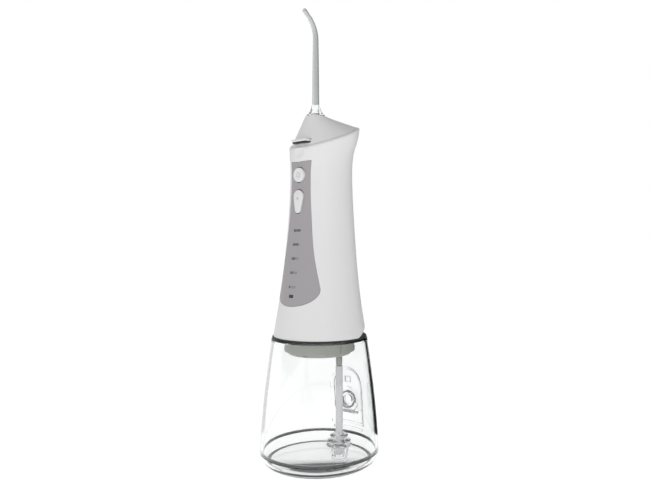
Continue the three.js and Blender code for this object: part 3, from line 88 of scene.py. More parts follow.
class Axis(Enum):
    """The line that a straight round bar lies along, with the turn that lays it there."""

    ACROSS = (0.0, math.pi / 2, 0.0)
    DEEP = (math.pi / 2, 0.0, 0.0)
    UPRIGHT = (0.0, 0.0, 0.0)


# ---------------------------------------------------------------- the bench
def metres(values: Iterable[float]) -> list[float]:
    """Turns millimetres into metres."""
    return [value * MM for value in values]


def pick(*pieces: Piece) -> None:
    """Selects these pieces only, with the first one active."""
    if bpy.context.mode != "OBJECT":
        bpy.ops.object.mode_set(mode="OBJECT")
    bpy.ops.object.select_all(action="DESELECT")
    for piece in pieces:
        piece.select_set(True)
    if pieces:
        bpy.context.view_layer.objects.active = pieces[0]


def newest(name: str) -> Piece:
    """Names the primitive that was just added and moves its place into its mesh."""
    piece = bpy.context.active_object
    piece.name = name
    bpy.ops.object.transform_apply(location=True, rotation=True, scale=True)
    return piece


def close_up(piece: Piece) -> Piece:
    """Merges a piece's doubled corners, fills its open ends and faces it outwards.

    Args:
        piece: The mesh to close.

    Returns:
        The same piece.
    """
    pick(piece)
    bpy.ops.object.mode_set(mode="EDIT")
    bpy.ops.mesh.select_all(action="SELECT")
    bpy.ops.mesh.remove_doubles(threshold=1e-7)
    bpy.ops.mesh.fill_holes(sides=0)
    bpy.ops.mesh.select_all(action="SELECT")
    bpy.ops.mesh.normals_make_consistent(inside=False)
    bpy.ops.object.mode_set(mode="OBJECT")
    return piece


def shifted(piece: Piece, across: float = 0.0, deep: float = 0.0, up: float = 0.0) -> Piece:
    """Moves a piece's mesh by millimetres."""
    pick(piece)
    piece.location = metres((across, deep, up))
    bpy.ops.object.transform_apply(location=True, rotation=True, scale=True)
    return piece


def spun(piece: Piece, turn: Corner) -> Piece:
    """Turns a piece's mesh about the origin, by degrees about X, Y and Z."""
    pick(piece)
    piece.rotation_euler = [math.radians(angle) for angle in turn]
    bpy.ops.object.transform_apply(location=True, rotation=True, scale=True)
    return piece


def turned(name: str, profile: Sequence[tuple[float, ...]], sides: int = FINE, closed: bool = False) -> Piece:
    """Makes a turned piece by drawing a ring up through a profile.

    Args:
        name: The piece's name.
        profile: Radius and height of each ring, with its centre's Y where the piece leans.
        sides: How many sides the ring has.
        closed: Whether the profile comes back to its start, as a hollow piece's does.

    Returns:
        A closed solid.
    """
    rings = [(max(ring[0], TINY), ring[1], ring[2] if len(ring) > 2 else 0.0) for ring in profile]
    if closed:
        rings.append(rings[0])
    radius, height, centre = rings[0]
    pick()
    bpy.ops.mesh.primitive_circle_add(
        vertices=sides, radius=radius * MM, location=(0, centre * MM, height * MM)
    )
    piece = newest(name)
    bpy.ops.object.mode_set(mode="EDIT")
    bpy.ops.mesh.select_all(action="SELECT")
    for next_radius, next_height, next_centre in rings[1:]:
        step = (0, (next_centre - centre) * MM, (next_height - height) * MM)
        bpy.ops.mesh.extrude_region_move(TRANSFORM_OT_translate={"value": step})
        grow = next_radius / radius
        if grow != 1:
            middle = (0, next_centre * MM, next_height * MM)
            bpy.ops.transform.resize(value=(grow, grow, 1), center_override=middle)
        radius, height, centre = next_radius, next_height, next_centre
    return close_up(piece)


def plate(name: str, outline: Outline, front: float, back: float) -> Piece:
    """Makes a plate by pushing an outline, drawn in X and height, from front to back along Y."""
    pick()
    bpy.ops.mesh.primitive_circle_add(vertices=len(outline), radius=MM, fill_type="NGON")
    piece = newest(name)
    for corner, (across, height) in zip(piece.data.vertices, outline):
        corner.co = (across * MM, front * MM, height * MM)
    bpy.ops.object.mode_set(mode="EDIT")
    bpy.ops.mesh.select_all(action="SELECT")
    bpy.ops.mesh.extrude_region_move(TRANSFORM_OT_translate={"value": (0, (back - front) * MM, 0)})
    return close_up(piece)


def bar(name: str, radius: float, start: float, end: float, axis: Axis, at: Corner, sides: int = ROUND) -> Piece:
    """Makes a straight round bar.

    Args:
        name: The piece's name.
        radius: Its radius.
        start: Where it starts along its axis.
        end: Where it ends along its axis.
        axis: The line that it lies along.
        at: A point on that line, whose value along the axis isn't read.
        sides: How many sides it has.

    Returns:
        A closed solid.
    """
    middle = (start + end) / 2
    across, deep, up = at
    place = {
        Axis.ACROSS: (middle, deep, up),
        Axis.DEEP: (across, middle, up),
        Axis.UPRIGHT: (across, deep, middle),
    }[axis]
    pick()
    bpy.ops.mesh.primitive_cylinder_add(
        vertices=sides,
        radius=radius * MM,
        depth=abs(end - start) * MM,
        location=metres(place),
        rotation=axis.value,
    )
    return newest(name)


def block(name: str, low: Corner, high: Corner) -> Piece:
    """Makes a square block between two corners."""
    pick()
    bpy.ops.mesh.primitive_cube_add(
        size=1,
        location=[(a + b) / 2 * MM for a, b in zip(low, high)],
        scale=[(b - a) * MM for a, b in zip(low, high)],
    )
    return newest(name)


def ball(name: str, centre: Corner, reach: Corner) -> Piece:
    """Makes an egg-shaped solid with these half widths."""
    pick()
    bpy.ops.mesh.primitive_uv_sphere_add(
        segments=ROUND,
        ring_count=SMALL,
        radius=1,
        location=metres(centre),
        scale=metres(reach),
    )
    return newest(name)


def cut(piece: Piece, how: Cut, *tools: Piece) -> Piece:
    """Cuts, keeps or joins with each tool in turn, and clears the tools away.

    Args:
        piece: The piece that is shaped.
        how: What the tools do.
        *tools: Closed solids.

    Returns:
        The shaped piece.
    """
    for tool in tools:
        pick(piece)
        step = piece.modifiers.new("cut", "BOOLEAN")
        step.operation = how.value
        step.solver = "MANIFOLD"
        step.object = tool
        bpy.ops.object.modifier_apply(modifier=step.name)
        if not piece.data.polygons:
            raise ValueError(f"{piece.name} is empty after {how.name} with {tool.name}")
        bpy.data.objects.remove(tool)
    return piece


def soften(piece: Piece, width: float, steps: int = 2, angle: float = 40.0) -> Piece:
    """Rounds every edge that is sharper than an angle in degrees."""
    pick(piece)
    edge = piece.modifiers.new("edge", "BEVEL")
    edge.width = width * MM
    edge.segments = steps
    edge.limit_method = "ANGLE"
    edge.angle_limit = math.radians(angle)
    edge.use_clamp_overlap = True
    bpy.ops.object.modifier_apply(modifier=edge.name)
    return piece


def arc(centre: tuple[float, float], radius: float, start: float, end: float, steps: int) -> list[tuple[float, float]]:
    """Points round an arc, with its angles in degrees."""
    points = []
    for i in range(steps + 1):
        angle = math.radians(start + (end - start) * i / steps)
        points.append((centre[0] + radius * math.cos(angle), centre[1] + radius * math.sin(angle)))
    return points


def square(inner: float, outer: float, low: float, high: float) -> Outline:
    """The profile of a square-edged ring."""
    return [(inner, low), (outer, low), (outer, high), (inner, high)]


def raised(outline: Iterable[tuple[float, ...]]) -> list[tuple[float, ...]]:
    """An outline or ring on the handle, lifted by the height of the handle's base."""
    return [(*point[:-1], point[-1] + HANDLE_BASE) for point in outline]


def rounded(half_width: float, half_height: float, height: float, radius: float, across: float = 0.0) -> Outline:
    """The outline of a rectangle with round corners."""
    wide, tall = half_width - radius, half_height - radius
    corners = [(1, 1, 0), (-1, 1, 90), (-1, -1, 180), (1, -1, 270)]
    return [
        point
        for x, z, start in corners
        for point in arc((across + x * wide, height + z * tall), radius, start, start + 90, 6)
    ]


# ---------------------------------------------------------------- finishes
def light_value(grey: float) -> float:
    """Turns a screen grey from 0 to 255 into the light that it stands for."""
    share = grey / 255
    return share / 12.92 if share <= 0.04045 else ((share + 0.055) / 1.055) ** 2.4


def colour(red: float, green: float, blue: float) -> tuple[float, float, float, float]:
    """A shader colour from screen values."""
    return (light_value(red), light_value(green), light_value(blue), 1.0)


def node(tree: Tree, kind: str, values: dict[str | int, Any] | None = None, **settings: Any) -> bpy.types.Node:
    """Adds a shader node.

    Args:
        tree: The tree that it goes into.
        kind: Its type, without the words that all shader nodes' types start with.
        values: What its input sockets hold, by name or number.
        **settings: Its own settings.

    Returns:
        The new node.
    """
    made = tree.nodes.new(f"ShaderNode{kind}")
    for setting, value in settings.items():
        setattr(made, setting, value)
    fill(made, values or {})
    return made


def fill(made: bpy.types.Node, values: dict[str | int, Any]) -> None:
    """Sets what a node's input sockets hold."""
    for socket, value in values.items():
        made.inputs[socket].default_value = value


def wire(tree: Tree, *wires: tuple[Socket, Socket]) -> None:
    """Joins each output socket to its input socket."""
    for source, target in wires:
        tree.links.new(source, target)


def plain(name: str, values: dict[str, Any]) -> bpy.types.Material:
    """A material for the stage, with constant values only."""
    made = bpy.data.materials.new(name)
    made.use_nodes = True
    fill(made.node_tree.nodes["Principled BSDF"], values)
    return made


class Effects:
    """Node groups that several finishes share. Each is built once."""

    @staticmethod
    def group(name: str, inputs: dict[str, str], outputs: dict[str, str]) -> tuple[Tree, bool]:
        """Finds a group or starts one.

        Args:
            name: The group's name.
            inputs: Socket types by name, each without its leading words.
            outputs: Socket types by name.

        Returns:
            The group, and whether it is new and still empty.
        """
        if name in bpy.data.node_groups:
            return bpy.data.node_groups[name], False
        tree = bpy.data.node_groups.new(name, "ShaderNodeTree")
        for way, sockets in (("INPUT", inputs), ("OUTPUT", outputs)):
            for label, kind in sockets.items():
                tree.interface.new_socket(label, in_out=way, socket_type=f"NodeSocket{kind}")
        return tree, True

    @classmethod
    def grain(cls) -> Tree:
        """Moulding grain: a fine height, and a slow mask for uneven gloss."""
        tree, new = cls.group(
            "moulding grain", {"Place": "Vector", "Grains": "Float"}, {"Height": "Float", "Mask": "Float"}
        )
        if new:
            start, end = tree.nodes.new("NodeGroupInput").outputs, tree.nodes.new("NodeGroupOutput").inputs
            fine = node(tree, "TexNoise", {"Detail": 2.0})
            slow = node(tree, "TexNoise", {"Scale": 60.0, "Detail": 3.0})
            wire(
                tree,
                (start["Place"], fine.inputs["Vector"]),
                (start["Grains"], fine.inputs["Scale"]),
                (start["Place"], slow.inputs["Vector"]),
                (fine.outputs["Fac"], end["Height"]),
                (slow.outputs["Fac"], end["Mask"]),
            )
        return tree

    @classmethod
    def tone(cls) -> Tree:
        """Slow change of shade over a surface."""
        sockets = {"Place": "Vector", "Scale": "Float", "Light": "Color", "Dark": "Color"}
        tree, new = cls.group("slow tone", sockets, {"Color": "Color"})
        if new:
            start, end = tree.nodes.new("NodeGroupInput").outputs, tree.nodes.new("NodeGroupOutput").inputs
            slow = node(tree, "TexNoise", {"Detail": 4.0})
            mix = node(tree, "Mix", data_type="RGBA")
            wire(
                tree,
                (start["Place"], slow.inputs["Vector"]),
                (start["Scale"], slow.inputs["Scale"]),
                (slow.outputs["Fac"], mix.inputs["Factor"]),
                (start["Light"], mix.inputs[MIX_A]),
                (start["Dark"], mix.inputs[MIX_B]),
                (mix.outputs[MIX_OUT], end["Color"]),
            )
        return tree


@dataclass(frozen=True)
class Finish:
    """A moulded or painted surface with a fine grain.

    The tint is in screen values, the grain's pitch in millimetres and its depth in millimetres.
    """

    name: str
    tint: tuple[float, float, float]
    roughness: float = 0.4
    spread: float = 0.03
    pitch: float = 0.35
    depth: float = 0.004
    metallic: float = 0.0
    coat: float = 0.0
    tone_scale: float = 40.0
    gloss_spread: float = 0.04
    grain_strength: float = 0.5

    def pattern(self, tree: Tree, place: Socket, base: Socket) -> Socket:
        """Adds a finish's own pattern over its base colour; plain finishes have none."""
        return base

    def paint(self) -> bpy.types.Material:
        """Builds the material, once.

        Returns:
            The material with this finish's name.
        """
        if self.name in bpy.data.materials:
            return bpy.data.materials[self.name]
        light = colour(*self.tint)
        made = plain(self.name, {"Metallic": self.metallic, "Coat Weight": self.coat})
        made.diffuse_color = light
        tree = made.node_tree
        shader = tree.nodes["Principled BSDF"].inputs
        place = node(tree, "TexCoord").outputs["Object"]
        shades = {
            "Scale": self.tone_scale,
            "Light": (*[min(1.0, v * (1 + self.spread)) for v in light[:3]], 1.0),
            "Dark": (*[v * (1 - self.spread) for v in light[:3]], 1.0),
        }
        tone = node(tree, "Group", shades, node_tree=Effects.tone())
        grain = node(tree, "Group", {"Grains": 1 / (self.pitch * MM)}, node_tree=Effects.grain())
        low, high = max(0.0, self.roughness - self.gloss_spread), min(1.0, self.roughness + self.gloss_spread)
        gloss = node(tree, "MapRange", {"To Min": low, "To Max": high})
        bump = node(tree, "Bump", {"Strength": self.grain_strength, "Distance": self.depth * MM})
        wire(
            tree,
            (place, tone.inputs["Place"]),
            (self.pattern(tree, place, tone.outputs["Color"]), shader["Base Color"]),
            (place, grain.inputs["Place"]),
            (grain.outputs["Mask"], gloss.inputs["Value"]),
            (gloss.outputs["Result"], shader["Roughness"]),
            (grain.outputs["Height"], bump.inputs["Height"]),
            (bump.outputs["Normal"], shader["Normal"]),
        )
        return made


@dataclass(frozen=True)
class Clear(Finish):
    """Clear moulded plastic, which lets straight light through to what stands behind it."""

    bend: float = 1.49
    shadow: float = 0.02

    def paint(self) -> bpy.types.Material:
        """Builds the clear material, once."""
        known = self.name in bpy.data.materials
        made = super().paint()
        if known:
            return made
        tree = made.node_tree
        shader = tree.nodes["Principled BSDF"]
        fill(shader, {"Transmission Weight": 1.0, "IOR": self.bend})
        path = node(tree, "LightPath").outputs
        through = node(tree, "BsdfTransparent", {"Color": (*[1 - self.shadow] * 3, 1.0)})
        either = node(tree, "Math", operation="MAXIMUM")
        mix = node(tree, "MixShader")
        wire(
            tree,
            (path["Is Shadow Ray"], either.inputs[0]),
            (path["Is Diffuse Ray"], either.inputs[1]),
            (either.outputs["Value"], mix.inputs[0]),
            (shader.outputs["BSDF"], mix.inputs[1]),
            (through.outputs["BSDF"], mix.inputs[2]),
            (mix.outputs["Shader"], tree.nodes["Material Output"].inputs["Surface"]),
        )
        return made


@dataclass(frozen=True)
class Circuit(Finish):
    """Green board with copper tracks under its lacquer."""

    def pattern(self, tree: Tree, place: Socket, base: Socket) -> Socket:
        """Lays square tracks over the board's colour."""
        looks = {
            "Scale": 260.0,
            "Mortar Size": 0.03,
            "Color1": colour(26, 84, 54),
            "Color2": colour(33, 98, 62),
            "Mortar": colour(64, 132, 84),
        }
        tracks = node(tree, "TexBrick", looks)
        turn = node(tree, "Mapping", {"Rotation": (math.pi / 2, 0, 0)})
        mix = node(tree, "Mix", {"Factor": 0.75}, data_type="RGBA")
        wire(
            tree,
            (place, turn.inputs["Vector"]),
            (turn.outputs["Vector"], tracks.inputs["Vector"]),
            (base, mix.inputs[MIX_A]),
            (tracks.outputs["Color"], mix.inputs[MIX_B]),
        )
        return mix.outputs[MIX_OUT]


@dataclass(frozen=True)
class Brushed(Finish):
    """Metal with fine drawn lines."""

    metallic: float = 1.0

    def pattern(self, tree: Tree, place: Socket, base: Socket) -> Socket:
        """Draws fine lines up the metal."""
        stretch = node(tree, "Mapping", {"Scale": (1.0, 1.0, 0.06)})
        lines = node(tree, "TexNoise", {"Scale": 2600.0})
        mix = node(tree, "Mix", {"Factor": 0.25}, data_type="RGBA", blend_type="MULTIPLY")
        wire(
            tree,
            (place, stretch.inputs["Vector"]),
            (stretch.outputs["Vector"], lines.inputs["Vector"]),
            (base, mix.inputs[MIX_A]),
            (lines.outputs["Fac"], mix.inputs[MIX_B]),
        )
        return mix.outputs[MIX_OUT]


TANK_CLEAR = Clear("clear tank plastic", (252, 253, 253), roughness=0.04, spread=0.002, pitch=4.0, depth=0.008)
NOZZLE_CLEAR = Clear("clear nozzle plastic", (252, 253, 253), roughness=0.05, spread=0.002, pitch=3.0, depth=0.005)
FROSTED = Clear("clear strainer plastic", (250, 251, 252), roughness=0.07, spread=0.003, pitch=3.0, depth=0.006)
CLEAR_SEAL = Finish("clear seal rubber", (128, 130, 132), roughness=0.5, pitch=0.5)
DARK_RUBBER = Finish("dark seal rubber", (38, 39, 41), roughness=0.6, spread=0.08, pitch=0.2, depth=0.01)
CASING = Finish("casing plastic", (223, 223, 223), roughness=0.38, spread=0.008, pitch=0.22, depth=0.003, coat=0.06)
CAP_WHITE = Finish("cap plastic", (217, 217, 217), roughness=0.38, spread=0.008, pitch=0.22, depth=0.003, coat=0.06)
PANEL_GREY = Finish("panel plastic", (160, 156, 159), roughness=0.42, spread=0.015, pitch=0.16, depth=0.005)
LENS_DARK = Finish("dark lens", (38, 38, 41), roughness=0.12, spread=0.05, pitch=1.0, depth=0.001, coat=0.5)
BUTTON_WHITE = Finish("button rubber", (222, 223, 223), roughness=0.42, spread=0.012, pitch=0.18, depth=0.006)
# lighter than the cap: a painted highlight along the release lever's lower edge
LEVER_LIP_HIGHLIGHT = Finish("lever lip painted highlight", (236, 236, 236), roughness=0.3, spread=0.008, pitch=0.25, depth=0.002)
MARK_DARK = Finish("printed mark", (62, 60, 64), roughness=0.55, spread=0.06, pitch=0.1, depth=0.002)
MARK_PALE = Finish("pale printed mark", (134, 130, 134), roughness=0.55, spread=0.06, pitch=0.1, depth=0.002)
ICON_GREY = Finish("button icon", (188, 188, 190), roughness=0.5, spread=0.05, pitch=0.1, depth=0.002)
COLLAR_GREY = Finish("collar plastic", (158, 160, 153), roughness=0.46, spread=0.02, pitch=0.25, depth=0.004)
HOSE_GREY = Finish("hose rubber", (205, 206, 208), roughness=0.45, spread=0.02, pitch=0.3, depth=0.004)
STUB_GREY = Finish("stub plastic", (150, 152, 150), roughness=0.45, spread=0.02, pitch=0.3, depth=0.004)
FLAP_GREY = Finish("flap rubber", (196, 197, 198), roughness=0.6, spread=0.02, pitch=0.15, depth=0.008)
FRAME_GREY = Finish("frame plastic", (186, 188, 192), roughness=0.6, spread=0.03, pitch=0.3, depth=0.01)
BLACK = Finish("black plastic", (38, 38, 40), roughness=0.5, spread=0.06, pitch=0.2, depth=0.006)
CELL_WRAP = Finish("cell wrap", (44, 110, 168), roughness=0.35, spread=0.05, pitch=0.6, depth=0.004, coat=0.3)
GEAR_NYLON = Finish("gear nylon", (233, 228, 214), roughness=0.45, spread=0.02, pitch=0.3, depth=0.004)
LIGHT_GUIDE = Finish("light guide", (235, 236, 238), roughness=0.2, spread=0.01, pitch=0.8, depth=0.002)
BOARD = Circuit("circuit board", (31, 90, 58), roughness=0.4, spread=0.06, pitch=0.4, depth=0.004, coat=0.3)
STEEL = Brushed("steel", (184, 187, 190), roughness=0.3, spread=0.03, pitch=0.15, depth=0.002)
BRASS = Brushed("brass", (196, 168, 98), roughness=0.32, spread=0.04, pitch=0.15, depth=0.002)


def deliver(piece: Piece, body: str, finish: Finish, slot: str, *nodes: str, smooth: float = 32.0) -> Piece:
    """Finishes a piece and hands it to its body.

    Args:
        piece: The shaped mesh.
        body: The CAD body that it rides on.
        finish: What it is made of.
        slot: The record's material slot; not used.
        *nodes: The CAD nodes that it stands for.
        smooth: The angle in degrees under which faces run into each other.

    Returns:
        The same piece.
    """
    pick(piece)
    bpy.ops.object.shade_smooth_by_angle(angle=math.radians(smooth))
    piece.data.materials.clear()
    piece.data.materials.append(finish.paint())
    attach(piece, body)
    if nodes:
        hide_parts(*nodes)
    LOG.info("%s rides on %s, %d faces", piece.name, body, len(piece.data.polygons))
    return piece


# ---------------------------------------------------------------- stage
@dataclass
class Stage:
    """Floor, light and camera."""

    camera_place: Corner = (269.3, -272.6, 136.3)
    camera_turn: float = 40.0
    lens: float = 33.56
    slide: float = -0.0677
    floor_radius: float = 9000.0
    floor_glow: float = 0.6
    lamp_aim: float = 140.0
    lamp_watts: float = 0.95
    room_light: float = 0.47
    room_slope: float = 0.24
    # inner and outer radius of the dark floor ring under the tank's foot, a painted contact shadow
    shade_ring: tuple[float, float] = (31.3, 34.6)
    board_low: float = -20.0
    board_behind: float = 50.0

    def aim(self) -> None:
        """Makes the camera and gives it to the scene."""
        pick()
        bpy.ops.object.camera_add(
            location=metres(self.camera_place),
            rotation=(math.pi / 2, 0, math.radians(self.camera_turn)),
        )
        camera = bpy.context.active_object
        camera.name = "camera"
        camera.data.lens = self.lens
        camera.data.sensor_width = 36.0
        camera.data.shift_x = self.slide
        camera.data.clip_start = 0.01
        camera.data.clip_end = 40.0
        bpy.context.scene.camera = camera

    def spot(self, right: float, ahead: float, up: float) -> Corner:
        """A place given by how far it is to the right, ahead and up as the camera looks."""
        turn = math.radians(self.camera_turn)
        across = right * math.cos(turn) - ahead * math.sin(turn)
        deep = right * math.sin(turn) + ahead * math.cos(turn)
        return tuple(metres((across, deep, up)))

    def floor(self) -> None:
        """Lays a plain pale floor."""
        pick()
        bpy.ops.mesh.primitive_circle_add(
            vertices=ROUND, radius=self.floor_radius * MM, fill_type="NGON", location=(0, 0, -0.0001)
        )
        floor = newest("floor")
        looks = {
            "Base Color": (0.9, 0.9, 0.9, 1),
            "Roughness": 0.7,
            "Emission Color": (1, 1, 1, 1),
            "Emission Strength": self.floor_glow,
        }
        floor.data.materials.append(plain("pale floor", looks))

    def flag(self, name: str, start: Corner, end: Corner, tall: float, grey: float, mirrored: bool = False) -> None:
        """Stands a board close behind the object, which only its clear pieces show.

        Args:
            name: The board's name.
            start: One lower corner as right, ahead and up, in millimetres.
            end: The other lower corner.
            tall: The board's height.
            grey: Its shade, from 0 to 1.
            mirrored: Whether glossy pieces show it too.
        """
        pick()
        wide = math.hypot(end[0] - start[0], end[1] - start[1])
        middle = [(a + b) / 2 for a, b in zip(start, end)]
        turn = math.radians(self.camera_turn) + math.atan2(end[1] - start[1], end[0] - start[0])
        bpy.ops.mesh.primitive_plane_add(
            size=1,
            location=self.spot(middle[0], middle[1], middle[2] + tall / 2),
            rotation=(math.pi / 2, 0, turn),
        )
        bpy.context.active_object.scale = (wide * MM, tall * MM, 1)
        board = newest(name)
        looks = {
            "Base Color": (0, 0, 0, 1),
            "Roughness": 1.0,
            "Specular IOR Level": 0.0,
            "Emission Color": (grey, grey, grey, 1),
            "Emission Strength": 1.0,
        }
        self.hide(board, looks, mirrored)

    def hide(self, board: Piece, looks: dict[str, Any], mirrored: bool = False) -> None:
        """Paints a board and leaves it to be seen through clear pieces only, or also in glossy ones."""
        board.data.materials.append(plain(board.name, looks))
        board.visible_camera = False
        board.visible_diffuse = False
        board.visible_glossy = mirrored
        board.visible_shadow = False

    def painted_foot_shadow(self) -> None:
        """Lays a dark ring on the floor under the tank's foot, a painted contact shadow that only clear pieces show.
        """
        ring = turned("painted foot shadow", square(*self.shade_ring, -0.06, -0.03), closed=True)
        self.hide(ring, {"Base Color": (0.01, 0.01, 0.01, 1)})

    def lamp(self, name: str, place: Corner, size: float, watts: float) -> None:
        """Hangs a soft square light that faces the handle."""
        pick()
        bpy.ops.object.light_add(type="AREA", location=place)
        lamp = bpy.context.active_object
        lamp.name = name
        lamp.data.shape = "SQUARE"
        lamp.data.size = size * MM
        lamp.data.energy = watts
        lamp.visible_glossy = False
        lamp.visible_transmission = False
        sight = Vector((0, 0, self.lamp_aim * MM)) - lamp.location
        lamp.rotation_euler = sight.to_track_quat("-Z", "Y").to_euler()

    def room(self) -> bpy.types.World:
        """White to the eye and in clear pieces, and softer from the right on everything else.

        Returns:
            The world.
        """
        world = bpy.data.worlds.new("white room")
        world.use_nodes = True
        tree = world.node_tree
        back = tree.nodes["Background"].inputs
        back["Color"].default_value = (1, 1, 1, 1)
        place = node(tree, "TexCoord").outputs["Generated"]
        fall = [-self.room_slope * v / MM for v in self.spot(1, 0, 0)]
        lean = node(tree, "VectorMath", {1: fall}, operation="DOT_PRODUCT")
        soft = node(tree, "Math", {1: self.room_light}, operation="ADD")
        path = node(tree, "LightPath").outputs
        either = node(tree, "Math", operation="MAXIMUM")
        choose = node(tree, "Mix", {"A": 1.0})
        wire(
            tree,
            (place, lean.inputs[0]),
            (lean.outputs["Value"], soft.inputs[0]),
            (path["Is Diffuse Ray"], either.inputs[0]),
            (path["Is Glossy Ray"], either.inputs[1]),
            (either.outputs["Value"], choose.inputs["Factor"]),
            (soft.outputs["Value"], choose.inputs["B"]),
            (choose.outputs["Result"], back["Strength"]),
        )
        return world

    def light(self) -> None:
        """Fills the room with white light, hangs the lamp and stands the boards."""
        scene = bpy.context.scene
        scene.view_settings.view_transform = "Standard"
        scene.world = self.room()
        behind, low = self.board_behind, self.board_low
        self.flag("right board", (47.6, behind, low), (90, behind, low), 380, 0.002, mirrored=True)
        self.flag("side board", (90, behind, low), (90, -60, low), 140, 0.03)
        self.flag("left board", (-58, behind, low), (-98, behind, low), 140, 0.62)
        # a dark floor ring under the foot: painted contact shadow
        self.painted_foot_shadow()
        self.lamp("key light", self.spot(140, -600, 260), 300, self.lamp_watts)

    def build(self) -> None:
        """Sets the whole stage, apart from the camera."""
        self.floor()
        self.light()
        LOG.info("stage set")


# ---------------------------------------------------------------- forms
@dataclass(frozen=True)
class TankForm:
    """The tank's outer shape, which its wall, port and door follow."""

    radius: float = 37.0
    top_radius: float = 30.0
    height: float = 78.0
    taper_start: float = 10.0
    taper_power: float = 1.45
    turn: float = 8.0

    def at(self, height: float) -> float:
        """The tank's radius at a height."""
        share = max(0.0, (height - self.taper_start) / (self.height - self.taper_start))
        return self.radius - (self.radius - self.top_radius) * share**self.taper_power

    def wall(self, inset: float, low: float, high: float, steps: int) -> list[tuple[float, float]]:
        """Points up the wall, pushed inwards."""
        heights = [low + (high - low) * i / steps for i in range(steps + 1)]
        return [(self.at(height) - inset, height) for height in heights]

    def core(self, inset: float, low: float, high: float) -> Piece:
        """A solid that fills the tank's outer shape, pushed inwards."""
        return turned("tank core", self.wall(inset, low, high, 40))


@dataclass(frozen=True)
class CasingForm:
    """The casing's outer shape: stations of height above its base, radius, and lean towards the back."""

    stations: tuple[Corner, ...] = (
        (0.0, 29.1, 0.3), (20.6, 25.8, 0.5), (40.6, 23.3, 0.95), (66.6, 20.9, 1.5), (90.6, 19.6, 1.6),
        (104.6, 19.45, 1.6), (113.6, 20.2, 1.9), (123.6, 21.8, 3.7), (134.6, 22.4, 5.0),
    )
    wall: float = 2.2
    crease_height: float = 122.8
    crease_slope: float = 0.41

    @property
    def top(self) -> float:
        """The last station's height."""
        return self.stations[-1][0]

    def at(self, height: float, column: int) -> float:
        """Reads the stations smoothly: column 1 is the radius, column 2 the lean."""
        last = len(self.stations) - 1
        height = min(max(height, 0.0), self.top)
        i = next((k for k in range(last) if height < self.stations[k + 1][0]), last - 1)

        def slope(k: int) -> float:
            """The slope at a station, from its neighbours."""
            before, after = self.stations[max(0, k - 1)], self.stations[min(last, k + 1)]
            return (after[column] - before[column]) / (after[0] - before[0])

        low, high = self.stations[i], self.stations[i + 1]
        span = high[0] - low[0]
        t = (height - low[0]) / span
        bend = t * t * (3 - 2 * t)
        ease = span * (t * (1 - t) ** 2 * slope(i) - t * t * (1 - t) * slope(i + 1))
        return low[column] + (high[column] - low[column]) * bend + ease

    def core(self, inset: float, low: float, high: float, steps: int = 80) -> Piece:
        """A solid that fills the casing's shape, pushed inwards."""
        start, end = max(low, 0.0), min(high, self.top)
        heights = [start + (end - start) * i / steps for i in range(steps + 1)]
        if low < start:
            heights.insert(0, low)
        if high > end:
            heights.append(high)
        rings = [(self.at(h, 1) - inset, h + HANDLE_BASE, self.at(h, 2)) for h in heights]
        return turned("casing core", rings)

    def hollow(self, inset: float) -> Piece:
        """The same solid run past both ends, to cut with."""
        return self.core(inset, -OVER, self.top + OVER)

    def front(self, height: float) -> float:
        """Y of the casing's front face."""
        return self.at(height, 2) - self.at(height, 1)

    def rear(self, height: float) -> float:
        """Y of the casing's rear face."""
        return self.at(height, 2) + self.at(height, 1)

    def crease(self, inset: float, lift: float, sides: int = FINE) -> list[Corner]:
        """The tilted ring where the cap meets the casing, pushed inwards and lifted."""
        points = []
        for i in range(sides):
            angle = 2 * math.pi * i / sides
            height = self.crease_height
            for _ in range(12):
                deep = self.at(height, 2) - (self.at(height, 1) - inset) * math.cos(angle)
                height = self.crease_height + self.crease_slope * deep
            radius = self.at(height, 1) - inset
            points.append((radius * math.sin(angle), self.at(height, 2) - radius * math.cos(angle), height + lift))
        return points

    def shell(self, name: str, outline: Outline, inset: float, depth: float, back: bool = False) -> Piece:
        """A thin piece that follows the casing inside an outline, on its front or its back."""
        piece = plate(name, raised(outline), 0 if back else -FAR, FAR if back else 0)
        cut(piece, Cut.KEEP, self.core(inset, 1, self.top))
        return cut(piece, Cut.AWAY, self.core(inset + depth, -1, self.top + OVER))


TANK = TankForm()
CASE = CasingForm()


def skinned(name: str, rings: Sequence[Sequence[Corner]], closed: bool) -> Piece:
    """Makes a piece from rings of points, where no ring is a plain circle.

    Args:
        name: The piece's name.
        rings: Rings of as many points each, in millimetres.
        closed: Whether the last ring joins the first, as on a hollow piece.

    Returns:
        A closed solid.
    """
    sides = len(rings[0])
    corners = [tuple(metres(point)) for ring in rings for point in ring]
    faces = []
    spans = len(rings) if closed else len(rings) - 1
    for r in range(spans):
        start, after = r * sides, ((r + 1) % len(rings)) * sides
        for i in range(sides):
            j = (i + 1) % sides
            faces.append((start + i, start + j, after + j, after + i))
    mesh = bpy.data.meshes.new(name)
    mesh.from_pydata(corners, [], faces)
    piece = bpy.data.objects.new(name, mesh)
    bpy.context.scene.collection.objects.link(piece)
    return close_up(piece)


